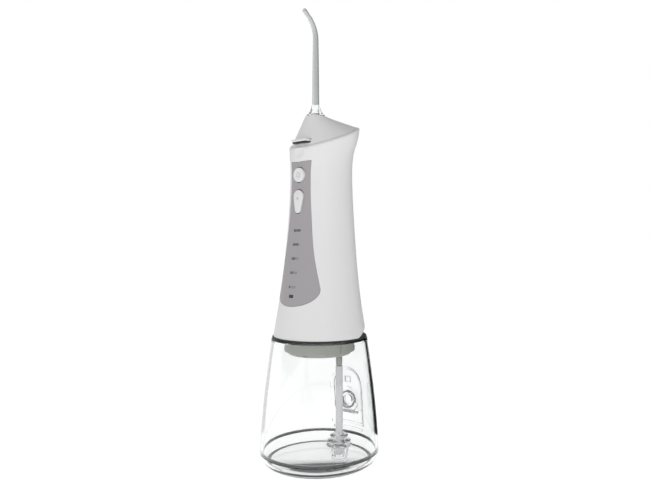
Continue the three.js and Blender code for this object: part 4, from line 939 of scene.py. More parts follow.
# ---------------------------------------------------------------- suction line
@dataclass
class SuctionLine:
    """Hose, strainer, and the stub that the hose is pushed on to."""

    radius: float = 2.25
    across: float = 10.7
    deep: float = 6.4
    stub_bore: float = 1.1
    stub_radius: float = 2.0
    route: tuple[Corner, ...] = (
        (10.7, 6.4, 59.7), (10.7, 6.4, 57.7), (10.7, 6.4, 54.7), (10.7, 6.47, 50.7), (10.7, 6.55, 46.7),
        (10.7, 6.61, 42.7), (10.7, 6.65, 38.7), (10.7, 6.65, 34.7), (10.7, 6.61, 30.7), (10.7, 6.55, 26.7),
        (10.7, 6.47, 22.7), (10.7, 6.4, 19.3), (10.7, 6.4, 15.3), (10.7, 6.4, 11.0), (10.7, 6.4, 7.5),
        (10.7, 6.4, 5.0),
    )
    strainer_base: float = 2.7
    strainer_height: float = 15.6
    strainer_radius: float = 8.0
    strainer_wall: float = 0.8

    def strainer(self) -> Piece:
        """Turns the strainer with its three discs and cuts its slots."""
        bore = self.radius + GAP
        tube = bore + self.strainer_wall
        top, edge = self.strainer_height, self.strainer_radius
        piece = turned(
            "strainer_body",
            [
                (bore, 1.2), (bore, top), (tube, top), (tube, top - 1.0), (edge - 2.6, top - 1.4),
                (edge - 2.3, top - 1.7), (edge - 2.4, top - 2.1), (tube, top - 2.5), (tube, top - 4.0),
                (edge - 1.0, top - 4.4), (edge - 0.7, top - 4.7), (edge - 0.8, top - 5.1), (tube, top - 5.5),
                (tube, top - 6.8), (edge - 0.2, top - 7.2), (edge, top - 7.6), (edge - 0.2, top - 8.0),
                (edge - 1.6, top - 8.8), (edge - 3.0, 0.2), (edge - 3.2, 0), (edge - 3.8, 0), (edge - 4.0, 0.2),
                (edge - 2.7, top - 8.6), (tube, top - 8.6), (tube, 1.2),
            ],
            ROUND,
            closed=True,
        )
        for turn in (0, 60, 120):
            slot = block("slot", (-1.2, -12, 1.6), (1.2, 12, top - 10.4))
            cut(slot, Cut.AWAY, bar("keep", tube, -1, top + 1, Axis.UPRIGHT, (0, 0, 0)))
            cut(piece, Cut.AWAY, spun(slot, (0, 0, turn)))
        return shifted(piece, self.across, self.deep, self.strainer_base)

    def hose(self, strainer: Piece) -> None:
        line = bpy.data.curves.new("hose", "CURVE")
        line.dimensions = "3D"
        run = line.splines.new("POLY")
        run.points.add(len(self.route) - 1)
        for point, place in zip(run.points, self.route):
            point.co = (*metres(place), 1)
        line.bevel_depth = self.radius * MM
        line.bevel_resolution = 8
        line.use_fill_caps = True
        hose = bpy.data.objects.new("suction_tube", line)
        bpy.context.scene.collection.objects.link(hose)
        line.materials.append(HOSE_GREY.paint())
        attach(hose, "handle")
        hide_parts("suction_hose")
        LOG.info("%s rides on handle", hose.name)

    def stub(self) -> Piece:
        """Turns the barbed stub under the collar."""
        low, top = 60.0, 75.4
        wide = self.stub_radius
        profile = [
            (self.stub_bore, low), (wide - 0.35, low), (wide - 0.1, low + 0.8), (wide, low + 1.5), (wide, top),
            (self.stub_bore, top),
        ]
        return shifted(turned("stub", profile, ROUND, closed=True), self.across, self.deep)

    def build(self) -> None:
        """Makes the whole suction line."""
        strainer = deliver(self.strainer(), "handle", FROSTED, "clear_plastic", "strainer")
        self.hose(strainer)
        deliver(self.stub(), "handle", STUB_GREY, "hose", "suction_stub")


# ---------------------------------------------------------------- tank
@dataclass
class Tank:
    """Clear wall, welded-on base, weld ring and the gasket under the handle."""

    wall: float = 1.8
    shoulder: float = 1.6
    neck_radius: float = 20.8
    neck_wall: float = 1.3
    neck_depth: float = 8.5
    weld_inner: float = 34.9
    weld_outer: float = 36.1
    weld_low: float = 7.7
    weld_tall: float = 1.3
    split: float = 7.4
    step_start: float = -37.0
    step_turn: float = 26.0
    step_rise: float = 3.9
    step_depth: float = 0.6

    def vessel(self, port: FillingPort) -> Piece:
        """Turns the wall, shoulder and neck, then cuts the filling port in."""
        under = TANK.height - self.shoulder
        weld_top = self.weld_low + self.weld_tall + GAP
        edge = self.weld_outer + GAP
        neck = self.neck_radius
        outside = TANK.wall(0, TANK.taper_start, TANK.height - 0.7, 36)
        inside = TANK.wall(self.wall, weld_top, under, 30)[::-1]
        piece = turned(
            "tank_wall",
            [
                (edge, self.weld_low), (TANK.radius, self.weld_low),
                *outside,
                (TANK.top_radius - 0.1, TANK.height - 0.4), (TANK.top_radius - 0.4, TANK.height - 0.1),
                (TANK.top_radius - 0.8, TANK.height), (neck + 0.3, TANK.height), (neck, TANK.height - 0.3),
                (neck, under),
                *inside,
                (edge, weld_top),
            ],
            closed=True,
        )
        return spun(port.let_into(piece), (0, 0, TANK.turn))

    def neck(self) -> Piece:
        """Turns the neck under the shoulder and cuts its locking step into the outer face."""
        low, high = TANK.height - self.neck_depth, TANK.height - self.shoulder - 0.02
        inner, outer = self.neck_radius, self.neck_radius + self.neck_wall
        piece = turned(
            "neck_ring",
            [
                (inner, high), (inner, low + 0.2), (inner + 0.2, low), (outer - 0.2, low), (outer, low + 0.2),
                (outer, high),
            ],
            closed=True,
        )
        face = outer - self.step_depth
        step = turned("step", square(face, outer + 2, low - 1, low + self.step_rise), closed=True)
        wedge = plate("wedge", [(0, 0), (50, 0), (50, 50 * math.tan(math.radians(self.step_turn)))], -200, 0)
        wedge = spun(spun(wedge, (-90, 0, 0)), (0, 0, self.step_start))
        cut(step, Cut.KEEP, wedge)
        cut(piece, Cut.AWAY, step)
        stop = block("stop", (inner + 0.4, -0.35, low + 1.2), (outer + 0.5, 0.35, low + self.step_rise + 0.6))
        return cut(piece, Cut.JOIN, spun(stop, (0, 0, self.step_start + self.step_turn + 1.5)))

    def base(self) -> Piece:
        """Turns the dished base."""
        foot = 31.0
        inner = TANK.radius - self.wall
        piece = turned(
            "tank_foot",
            [
                (0, 0), (foot, 0), (TANK.radius - 4.4, 0.45), (TANK.radius - 3.2, 1.2),
                (TANK.radius - 2.1, 2.1), (TANK.radius - 1.2, 3.2), (TANK.radius - 0.6, 4.2),
                (TANK.radius - 0.2, 5.4), (TANK.radius, self.split), (inner, self.split), (inner - 0.2, 6.0),
                (inner - 0.6, 4.6), (inner - 1.4, 3.5), (inner - 2.6, 2.6), (inner - 3.7, 2.15),
                (inner - 5, 1.9), (inner - 12, 2.1), (0, 2.3),
            ],
        )
        return piece

    def build(self) -> None:
        """Makes the tank with its port and door."""
        port = FillingPort()
        deliver(self.vessel(port), "tank", TANK_CLEAR, "clear_plastic", "tank_shell")
        deliver(self.neck(), "tank", COLLAR_GREY, "collar")
        deliver(self.base(), "tank", TANK_CLEAR, "clear_plastic", "tank_base")
        low, tall = self.weld_low, self.weld_tall
        weld = turned(
            "weld_ring",
            [
                (self.weld_inner, low + 0.1), (self.weld_inner + 0.1, low), (self.weld_outer - 0.1, low),
                (self.weld_outer, low + 0.1), (self.weld_outer, low + tall - 0.1),
                (self.weld_outer - 0.1, low + tall), (self.weld_inner + 0.1, low + tall),
                (self.weld_inner, low + tall - 0.1),
            ],
            closed=True,
        )
        deliver(weld, "tank", DARK_RUBBER, "dark_rubber", "tank_base_seal")
        rim, lip = TANK.top_radius - 0.5, 0.02
        floor, roof = TANK.height + lip, HANDLE_BASE - RIM_DROP - lip
        seal = turned(
            "gasket_ring",
            [
                (21.3, floor + 0.3), (rim - 1.0, floor + 0.3), (rim - 0.8, floor), (rim - 0.3, floor),
                (rim, floor + 0.25), (rim, roof - 0.25), (rim - 0.3, roof), (rim - 0.9, roof),
                (rim - 1.1, roof - 0.2), (21.3, roof - 0.2),
            ],
            closed=True,
        )
        deliver(seal, "gasket", DARK_RUBBER, "dark_rubber", "tank_seal")
        port.build()


@dataclass
class FillingPort:
    """The arched recess at the rear of the tank, with its hinged door."""

    half_width: float = 11.5
    bottom: float = 16.0
    straight_top: float = 40.5
    recess: float = 1.2
    backing: float = 1.5
    rim_grow: float = 1.2
    hole_height: float = 31.4
    hole_radius: float = 6.2
    boss_radius: float = 8.6
    boss_depth: float = 3.0
    door_thickness: float = 0.8
    door_inset: float = 0.1
    door_bottom: float = 24.8
    hinge_height: float = 22.9
    hinge_inset: float = 1.05
    barrel: float = 1.0
    barrel_half: float = 3.9
    knuckle: float = 3.0
    pin: float = 0.35
    plug_radius: float = 4.6
    plug_wall: float = 1.1
    plug_depth: float = 3.0
    lip_radius: float = 5.3
    lip_thickness: float = 0.6
    seal_radius: float = 5.8
    catch: Corner = (4.0, 0.8, 3.3)
    catch_height: float = 45.0
    ledge_height: float = 11.9
    ledge_thickness: float = 1.4

    @property
    def hinge_deep(self) -> float:
        """Y of the hinge line before the tank is turned."""
        return TANK.at(self.hinge_height) - self.hinge_inset

    def arch(self, grow: float, bottom: float) -> Outline:
        """The arch's outline."""
        half = self.half_width + grow
        return [(-half, bottom), (half, bottom), *arc((0, self.straight_top), half, 0, 180, 40)]

    def stud(self, name: str, radius: float, start: float, end: float) -> Piece:
        """A round solid on the filling hole's axis."""
        return bar(name, radius, start, end, Axis.DEEP, (0, 0, self.hole_height), FINE // 2)

    def hinge_bar(self, name: str, radius: float, start: float, end: float) -> Piece:
        """A round solid on the hinge line."""
        return bar(name, radius, start, end, Axis.ACROSS, (0, self.hinge_deep, self.hinge_height), SMALL)

    def follow(self, piece: Piece, outer: float, inner: float) -> Piece:
        """Keeps the part of a solid that lies between two depths of the tank's wall."""
        cut(piece, Cut.KEEP, TANK.core(outer, 1, TANK.height - 1))
        return cut(piece, Cut.AWAY, TANK.core(inner, 0, TANK.height))

    def let_into(self, vessel: Piece) -> Piece:
        """Joins the port's backing to the tank's wall and cuts its recess, hole and hinge."""
        surface = TANK.at(self.hole_height)
        deep = self.recess + self.backing
        backing = plate("backing", self.arch(self.rim_grow, self.bottom - self.rim_grow), 1, FAR)
        backing = self.follow(backing, self.recess - 0.05, deep)
        boss = self.stud("boss", self.boss_radius, surface - self.recess - self.boss_depth, surface - self.recess)
        ledge = block(
            "ledge",
            (-self.half_width, 20, self.ledge_height - self.ledge_thickness / 2),
            (self.half_width, FAR, self.ledge_height + self.ledge_thickness / 2),
        )
        ledge = self.follow(ledge, self.recess, deep)
        cut(vessel, Cut.JOIN, backing, boss, ledge)
        recess = plate("recess", self.arch(0, self.bottom), 1, FAR)
        cut(recess, Cut.AWAY, TANK.core(self.recess, 0, TANK.height))
        hole = self.stud("hole", self.hole_radius, 20, FAR)
        half = self.barrel_half + GAP
        swing = self.hinge_bar("swing", self.barrel + GAP, -half, half)
        wide, depth, tall = self.catch
        face = TANK.at(self.catch_height) - self.recess
        pocket = block(
            "pocket",
            (-wide / 2 - GAP, face - depth - GAP, self.catch_height - tall / 2 - GAP),
            (wide / 2 + GAP, face + 2, self.catch_height + tall / 2 + GAP),
        )
        cut(vessel, Cut.AWAY, recess, hole, swing, pocket)
        for side in (-1, 1):
            ends = sorted((side * half, side * (half + self.knuckle)))
            cut(vessel, Cut.JOIN, self.hinge_bar("knuckle", self.barrel, *ends))
        reach = half + self.knuckle + GAP
        return cut(vessel, Cut.AWAY, self.hinge_bar("pin hole", self.pin + 0.1, -reach, reach))

    def door(self) -> Piece:
        """Makes the door with its plug, hinge barrel and catch."""
        surface = TANK.at(self.hole_height)
        inner = self.door_inset + self.door_thickness
        piece = plate("filling_door", self.arch(-GAP, self.door_bottom), 1, FAR)
        tongue = block(
            "tongue",
            (-self.barrel_half, 1, self.hinge_height), (self.barrel_half, FAR, self.door_bottom + 0.5),
        )
        self.follow(cut(piece, Cut.JOIN, tongue), self.door_inset, inner)
        root, end = surface - inner + 0.3, surface - inner - self.plug_depth
        plug = self.stud("plug", self.plug_radius, end - 0.1, root)
        lip = self.stud("lip", self.lip_radius, end - self.lip_thickness, end)
        wide, depth, tall = self.catch
        face = TANK.at(self.catch_height) - self.recess
        hook = block(
            "hook",
            (-wide / 2, face - depth, self.catch_height - tall / 2),
            (wide / 2, face + 0.6, self.catch_height + tall / 2),
        )
        barrel = self.hinge_bar("barrel", self.barrel, -self.barrel_half, self.barrel_half)
        cut(piece, Cut.JOIN, plug, lip, soften(hook, 0.25), barrel)
        hollow = self.stud("hollow", self.plug_radius - self.plug_wall, end - 5, root - 0.8)
        pin = self.hinge_bar("pin hole", self.pin + 0.1, -self.barrel_half - 1, self.barrel_half + 1)
        return spun(cut(piece, Cut.AWAY, hollow, pin), (0, 0, TANK.turn))

    def seal(self) -> Piece:
        """Turns the soft ring round the plug and lays it on the hole's axis."""
        inner = self.door_inset + self.door_thickness
        low = TANK.at(self.hole_height) - inner - self.plug_depth + GAP
        cover = TANK.at(self.hole_height + self.seal_radius) - inner
        high = math.sqrt(cover**2 - self.seal_radius**2) - GAP
        bore, edge = self.plug_radius + 0.05, self.seal_radius
        profile = [
            (bore, low), (edge - 0.3, low), (edge, low + 0.3), (edge - 0.35, (low + high) / 2),
            (edge, high - 0.3), (edge - 0.3, high), (bore, high),
        ]
        piece = spun(turned("plug_ring", profile, FINE // 2, closed=True), (-90, 0, 0))
        return spun(shifted(piece, up=self.hole_height), (0, 0, TANK.turn))

    def build(self) -> None:
        """Makes the door and its seal; the recess comes with the tank's wall."""
        deliver(self.door(), "filling_door", TANK_CLEAR, "clear_plastic", "fill_cover")
        deliver(self.seal(), "filling_door", CLEAR_SEAL, "clear_seal", "fill_plug_seal")


# ---------------------------------------------------------------- casing
@dataclass
class ControlPanel:
    """Grey front panel with its printed marks, lens and two buttons."""

    widest: float = 17.3
    foot: float = 19.1
    recess: float = 1.3
    thickness: float = 0.95
    inset: float = 0.1
    lens_height: float = 25.2
    lens_half: tuple[float, float] = (1.8, 0.9)
    power_height: float = 98.6
    power_radius: float = 4.4
    power_proud: float = 1.0
    mode_top: tuple[float, float] = (84.6, 3.8)
    mode_bottom: tuple[float, float] = (76.7, 2.3)
    mode_proud: float = 0.8
    mode_tilt: float = 0.055
    clearance: float = 0.5
    mode_back: float = -13.6
    flange_front: float = -14.9
    flange_thick: float = 0.4
    flange_grow: float = 0.8
    lens_corner: float = 0.55
    mark_pitch: float = 1.2
    mark_half: tuple[float, float] = (0.42, 0.75)
    print_proud: float = 0.03
    icon_ring: tuple[float, float] = (1.25, 1.55)
    mark_heights: tuple[float, ...] = (64.8, 56.3, 47.8, 39.3, 30.7)
    mark_segments: int = 5

    def outline(self, shrink: float) -> Outline:
        """The panel's outline in X and height."""
        side = [(8.8, 107.1), (8.2, 98.0), (8.9, 80.0), (11.9, 53.4), (self.widest, 29.6)]
        side = [(x - shrink, z - (shrink if z > 100 else 0)) for x, z in side]
        edge = smooth_line(side, 16)
        foot = self.foot + shrink
        corner = bezier(side[-1], (self.widest + 0.5 - shrink, 23 + shrink), (10, foot), (0, foot), 20)
        right = [(0, 106.5 - shrink), *edge, *corner[1:]]
        return [*right, *[(-x, z) for x, z in right[-2:0:-1]]]

    def tear(self, grow: float) -> Outline:
        """The mode button's outline about its own middle."""
        (top, top_radius), (bottom, bottom_radius) = self.mode_top, self.mode_bottom
        rise = top - bottom
        lean = math.degrees(math.asin((top_radius - bottom_radius) / rise))
        upper = arc((0, rise / 2), top_radius + grow, -lean, 180 + lean, 28)
        return [*upper, *arc((0, -rise / 2), bottom_radius + grow, 180 + lean, 360 - lean, 20)]

    @property
    def mode_height(self) -> float:
        """The mode button's middle."""
        return (self.mode_top[0] + self.mode_bottom[0]) / 2

    def tilted_tear(self, name: str, grow: float, front: float, back: float) -> Piece:
        """The mode button's outline as a solid that leans with the casing."""
        piece = spun(plate(name, self.tear(grow), front, back), (-math.degrees(self.mode_tilt), 0, 0))
        return shifted(piece, up=self.mode_height + HANDLE_BASE)

    def holes(self) -> list[Piece]:
        """Tools for the two buttons' holes."""
        at = (0, 0, self.power_height + HANDLE_BASE)
        return [
            bar("power hole", self.power_radius + self.clearance, -60, 0, Axis.DEEP, at, FINE),
            self.tilted_tear("mode hole", self.clearance, -40, 0),
        ]

    def pocket(self) -> Piece:
        """A tool for the recess in the casing that the panel sits in."""
        outline = raised(self.outline(0))
        return cut(plate("panel pocket", outline, -FAR, 0), Cut.AWAY, CASE.hollow(self.recess))

    def sheet(self) -> Piece:
        """Cuts the grey panel to the casing's curve."""
        piece = CASE.shell("panel", self.outline(0.2), self.inset, self.thickness)
        wide, tall = self.lens_half
        window = rounded(wide + 0.1, tall + 0.1, self.lens_height + HANDLE_BASE, 0.6)
        return cut(piece, Cut.AWAY, *self.holes(), plate("lens hole", window, -FAR, 0))

    def mark(self, row: int, dark: bool) -> Piece | None:
        """Prints a row's dark or pale segments: one more is dark in each row up.

        Args:
            row: The row, counted from the top.
            dark: Whether the dark segments are wanted.

        Returns:
            The segments as one piece, or None where the row has none.
        """
        filled = self.mark_segments - row
        wide, tall = self.mark_half
        piece = None
        for i in range(self.mark_segments):
            if (i < filled) != dark:
                continue
            across = (i - (self.mark_segments - 1) / 2) * self.mark_pitch
            outline = rounded(wide, tall, self.mark_heights[row] + HANDLE_BASE, 0.2, across)
            segment = plate("segment", outline, -FAR, 0)
            piece = segment if piece is None else cut(piece, Cut.JOIN, segment)
        return piece

    def print_marks(self, name: str, dark: bool, finish: Finish) -> None:
        """Prints all rows' segments of one shade just proud of the panel."""
        rows = [piece for row in range(len(self.mark_heights)) if (piece := self.mark(row, dark))]
        whole = cut(rows[0], Cut.JOIN, *rows[1:])
        whole.name = name
        cut(whole, Cut.KEEP, CASE.core(self.inset - self.print_proud, 1, CASE.top))
        cut(whole, Cut.AWAY, CASE.core(self.inset + 0.05, -1, CASE.top + OVER))
        deliver(whole, "handle", finish, "panel")

    def power_button(self) -> Piece:
        """Turns the round button with a dished face and a flange behind."""
        front = CASE.front(self.power_height) - self.power_proud
        back = self.flange_front + self.flange_thick - front
        radius, flange = self.power_radius, self.power_radius + self.flange_grow
        profile = [
            (0, 0.28), (radius * 0.3, 0.26), (radius * 0.6, 0.18), (radius * 0.82, 0.05), (radius * 0.9, 0.08),
            (radius * 0.97, 0.28), (radius, 0.6), (radius, back - self.flange_thick),
            (flange, back - self.flange_thick), (flange, back), (0, back),
        ]
        piece = spun(turned("power_cap", profile, FINE // 2), (-90, 0, 0))
        return shifted(piece, deep=front, up=self.power_height + HANDLE_BASE)

    def mode_button(self) -> Piece:
        """Makes the drop-shaped button with a rounded face and a flange behind."""
        front = CASE.front(self.mode_height) - self.mode_proud
        piece = self.tilted_tear("mode_cap", 0, front, self.mode_back)
        cut(piece, Cut.AWAY, block("trim", (-20, self.flange_front + 0.1, 0), (20, FAR, 300)))
        soften(piece, 0.45, 4, 60)
        flange = plate("flange", self.tear(self.flange_grow), self.flange_front, self.flange_front + self.flange_thick)
        return cut(piece, Cut.JOIN, shifted(flange, up=self.mode_height + HANDLE_BASE))

    def icons(self) -> None:
        """Raises a ring and stroke on the power button and a dot on the mode button."""
        front = CASE.front(self.power_height) - self.power_proud
        up = self.power_height + HANDLE_BASE
        ring = turned("ring", square(*self.icon_ring, 0, 0.3), ROUND, closed=True)
        ring = shifted(spun(ring, (-90, 0, 0)), deep=front + 0.15, up=up)
        cut(ring, Cut.AWAY, block("opening", (-0.55, front - 1, up), (0.55, front + 2, up + 3)))
        stroke = block("stroke", (-0.18, front + 0.15, up + 0.3), (0.18, front + 0.45, up + 1.9))
        icon = cut(ring, Cut.JOIN, stroke)
        icon.name = "power_icon"
        deliver(icon, "power_key", ICON_GREY, "button")
        face = CASE.front(self.mode_height) - self.mode_proud
        drop = rounded(0.7, 0.7, 0, 0.65)
        dot = plate("mode_icon", drop, face - 0.04, face + 0.3)
        dot = spun(dot, (-math.degrees(self.mode_tilt), 0, 0))
        deliver(shifted(dot, up=self.mode_height + HANDLE_BASE + 2.5), "mode_key", ICON_GREY, "button")

    def lens(self) -> Piece:
        """Cuts the dark pill over the charge lamp."""
        wide, tall = self.lens_half
        pill = rounded(wide, tall, self.lens_height, self.lens_corner)
        return CASE.shell("charge_lens", pill, self.inset - self.print_proud, self.thickness)

    def build(self) -> None:
        """Makes the panel and all that it carries."""
        deliver(self.sheet(), "handle", PANEL_GREY, "panel", "front_panel")
        self.print_marks("level_marks", True, MARK_DARK)
        self.print_marks("level_marks_pale", False, MARK_PALE)
        deliver(self.lens(), "handle", LENS_DARK, "lens", "battery_lens")
        deliver(self.power_button(), "power_key", BUTTON_WHITE, "button", "power_button")
        deliver(self.mode_button(), "mode_key", BUTTON_WHITE, "button", "mode_button")
        self.icons()


def smooth_line(points: Outline, steps: int) -> list[tuple[float, float]]:
    """A smooth line through points, each span cut into steps."""
    last = len(points) - 1
    made = []
    for i in range(last):
        p0, p1, p2, p3 = points[max(0, i - 1)], points[i], points[i + 1], points[min(last, i + 2)]
        for k in range(steps):
            t = k / steps
            made.append(
                tuple(
                    0.5
                    * (
                        2 * b
                        + (c - a) * t
                        + (2 * a - 5 * b + 4 * c - d) * t * t
                        + (3 * b - a - 3 * c + d) * t * t * t
                    )
                    for a, b, c, d in zip(p0, p1, p2, p3)
                )
            )
    return [*made, points[-1]]


def bezier(p0: tuple, p1: tuple, p2: tuple, p3: tuple, steps: int) -> list[tuple[float, float]]:
    """Points along a cubic curve with two handles."""
    made = []
    for i in range(steps + 1):
        t = i / steps
        weights = ((1 - t) ** 3, 3 * t * (1 - t) ** 2, 3 * t * t * (1 - t), t**3)
        made.append(tuple(sum(w * p[axis] for w, p in zip(weights, (p0, p1, p2, p3))) for axis in (0, 1)))
    return made


@dataclass
class ChargingFlap:
    """Rubber flap over the charging socket at the rear."""

    height: float = 12.6
    half_width: float = 7.5
    half_height: float = 4.8
    recess: float = 1.3
    thickness: float = 1.0
    hole_half_width: float = 4.9
    hole_half_height: float = 1.8

    def tools(self) -> list[Piece]:
        """Tools for the recess and the hole in the casing."""
        up = self.height + HANDLE_BASE
        hole = plate("charge hole", rounded(self.hole_half_width, self.hole_half_height, up, 1.08), 0, FAR)
        recess = plate("charge recess", rounded(self.half_width, self.half_height, up, 2.88), 0, FAR)
        return [hole, cut(recess, Cut.AWAY, CASE.hollow(self.recess))]

    def build(self) -> None:
        """Makes the flap with its plug and a lip for the finger."""
        up = self.height + HANDLE_BASE
        outline = rounded(self.half_width - 0.2, self.half_height - 0.2, self.height, 2.7)
        piece = CASE.shell("charging_cover", outline, 0, self.thickness, back=True)
        face = CASE.rear(self.height) - self.thickness
        plug = plate(
            "plug",
            rounded(self.hole_half_width - 2 * GAP, self.hole_half_height - GAP, up, 0.9),
            face - 1.3,
            face + 0.4,
        )
        lip = block("lip", (-2.5, face + 0.6, up + 3.2), (2.5, face + 1.5, up + 3.9))
        cut(piece, Cut.JOIN, plug, soften(lip, 0.25))
        deliver(piece, "charging_flap", FLAP_GREY, "flap_rubber", "charge_cover")


@dataclass
class Casing:
    """White casing, slanted cap and release lever."""

    rounding: float = 1.7
    rounding_steps: int = 7
    brow_clear: float = 30.0
    brow_depth: float = 125.0
    rim_drop: float = RIM_DROP
    cap_wall: float = 2.0
    flank_steps: int = 14
    skirt: float = 2.4
    draft: float = 0.9
    seat_height: float = 136.1
    seat_radius: float = 6.5
    seat_forward: float = 3.5
    scoop_height: float = 112.6
    scoop_half: tuple[float, float] = (9.0, 6.0)
    scoop_depth: float = 0.7
    lever_height: float = 118.2
    lever_foot: float = 0.75
    lever_lip: float = 0.6
    lever_thickness: float = 2.0
    lever_half: float = 6.5
    lever_front: float = -19.15
    lever_back: float = -12.85
    lever_corner: float = 2.0

    def shell(self, panel: ControlPanel, flap: ChargingFlap) -> Piece:
        """Makes the casing, trims it at the crease and cuts its pockets."""
        piece = CASE.core(0, -self.rim_drop, CASE.top, 120)
        piece.name = "casing"
        cut(piece, Cut.KEEP, self.brow())
        soften(piece, 0.35, 3, 40)
        cut(piece, Cut.AWAY, CASE.core(CASE.wall, -OVER, CASE.top + 20))
        wide, tall = self.scoop_half
        deep = CASE.front(self.scoop_height) - self.scoop_depth * 2
        scoop = ball("scoop", (0, deep, self.scoop_height + HANDLE_BASE), (wide, self.scoop_depth * 3, tall))
        cut(piece, Cut.AWAY, scoop, panel.pocket(), *panel.holes(), *flap.tools())
        return piece

    def brow(self) -> Piece:
        """A solid that ends in the crease with a round edge, which the casing is cut to."""
        reach, clear = self.rounding, self.brow_clear
        rings = [
            CASE.crease(-clear, -self.brow_depth),
            CASE.crease(-clear, -reach - clear),
            CASE.crease(-GAP, -reach - GAP),
        ]
        for i in range(self.rounding_steps + 1):
            turn = math.pi / 2 * i / self.rounding_steps
            rings.append(CASE.crease(reach * (1 - math.cos(turn)), reach * (math.sin(turn) - 1)))
        return skinned("brow", [raised(ring) for ring in rings], closed=False)

    def seat(self, radius: float, height: float) -> list[Corner]:
        """A ring round the nozzle's seat, starting at the front as the crease's ring does."""
        ring = []
        for i in range(FINE):
            angle = 2 * math.pi * i / FINE
            ring.append((radius * math.sin(angle), -self.seat_forward - radius * math.cos(angle), height))
        return ring

    def cap(self) -> Piece:
        """Skins the cap from the crease to the nozzle's seat, with its inner skirt."""
        bore = self.seat_radius - 0.6
        edge = CASE.crease(self.rounding + 0.2, 0.02)
        low = CASE.crease(self.rounding, 0.12)
        high = self.seat(self.seat_radius, self.seat_height - 0.05)
        steps = self.flank_steps
        flank = [
            [tuple(a + (b - a) * k / steps for a, b in zip(p, q)) for p, q in zip(low, high)]
            for k in range(steps + 1)
        ]
        inner = CASE.crease(CASE.wall + GAP, GAP)
        skirt_in = CASE.crease(CASE.wall + GAP + self.cap_wall * 0.7, GAP)

        def dropped(ring: list[Corner]) -> list[Corner]:
            """A ring lowered to the skirt's end."""
            return [(x, y, z - self.skirt) for x, y, z in ring]

        rings = [
            edge,
            *flank,
            self.seat(bore, self.seat_height),
            self.seat(bore, self.seat_height - self.cap_wall - 0.8),
            skirt_in,
            dropped(CASE.crease(CASE.wall + GAP + self.draft + 1, GAP)),
            dropped(CASE.crease(CASE.wall + GAP + self.draft, GAP)),
            inner,
        ]
        piece = skinned("cap", [raised(ring) for ring in rings], closed=True)
        half, up = self.lever_half + GAP, self.lever_height + HANDLE_BASE
        slot = block("slot", (-half, -FAR, up - GAP), (half, -8, up + self.lever_thickness + GAP))
        return cut(piece, Cut.AWAY, slot)

    def lever_plate(self, name: str, low: float, high: float, grow: float) -> Piece:
        """A plate with the lever's outline and round front corners, between two heights above the lever's foot."""
        half, corner = self.lever_half + grow, self.lever_corner
        front, back = self.lever_front - grow, self.lever_back
        outline = [
            (half, back), (-half, back),
            *arc((corner - half, front + corner), corner, 180, 270, 10),
            *arc((half - corner, front + corner), corner, 270, 360, 10),
        ]
        piece = spun(plate(name, outline, -low, -high), (-90, 0, 0))
        piece = shifted(piece, up=self.lever_height + HANDLE_BASE)
        return soften(piece, 0.2, 3, 50)

    def painted_gap_shadow(self) -> Piece:
        """Makes a dark strip in the slot under the lever, a painted shadow of the gap beneath it."""
        half, up = self.lever_half - 0.8, self.lever_height + HANDLE_BASE
        front = self.lever_front + 1.2
        strip = block("lever_gap_shadow", (-half, front, up - 0.2), (half, front + 3.0, up + self.lever_foot - 0.08))
        return soften(strip, 0.15, 2, 50)

    def build(self) -> None:
        """Makes the casing with its cap, panel, lever and charging flap."""
        panel, flap = ControlPanel(), ChargingFlap()
        deliver(self.shell(panel, flap), "handle", CASING, "casing", "body_shell")
        deliver(self.cap(), "handle", CAP_WHITE, "cap", "head_cap")
        foot, lip = self.lever_foot, self.lever_foot + self.lever_lip
        lever = self.lever_plate("release_lever", lip + 0.02, self.lever_thickness, 0)
        deliver(lever, "release_key", CAP_WHITE, "button", "release_button")
        # the lever's lip is painted lighter than the lever, a painted highlight on its lower edge
        deliver(self.lever_plate("lever_lip", foot, lip, 0.1), "release_key", LEVER_LIP_HIGHLIGHT, "button")
        # the black strip under the lever is painted shadow of the gap, not a rubber part
        deliver(self.painted_gap_shadow(), "handle", BLACK, "dark_rubber")
        panel.build()
        flap.build()


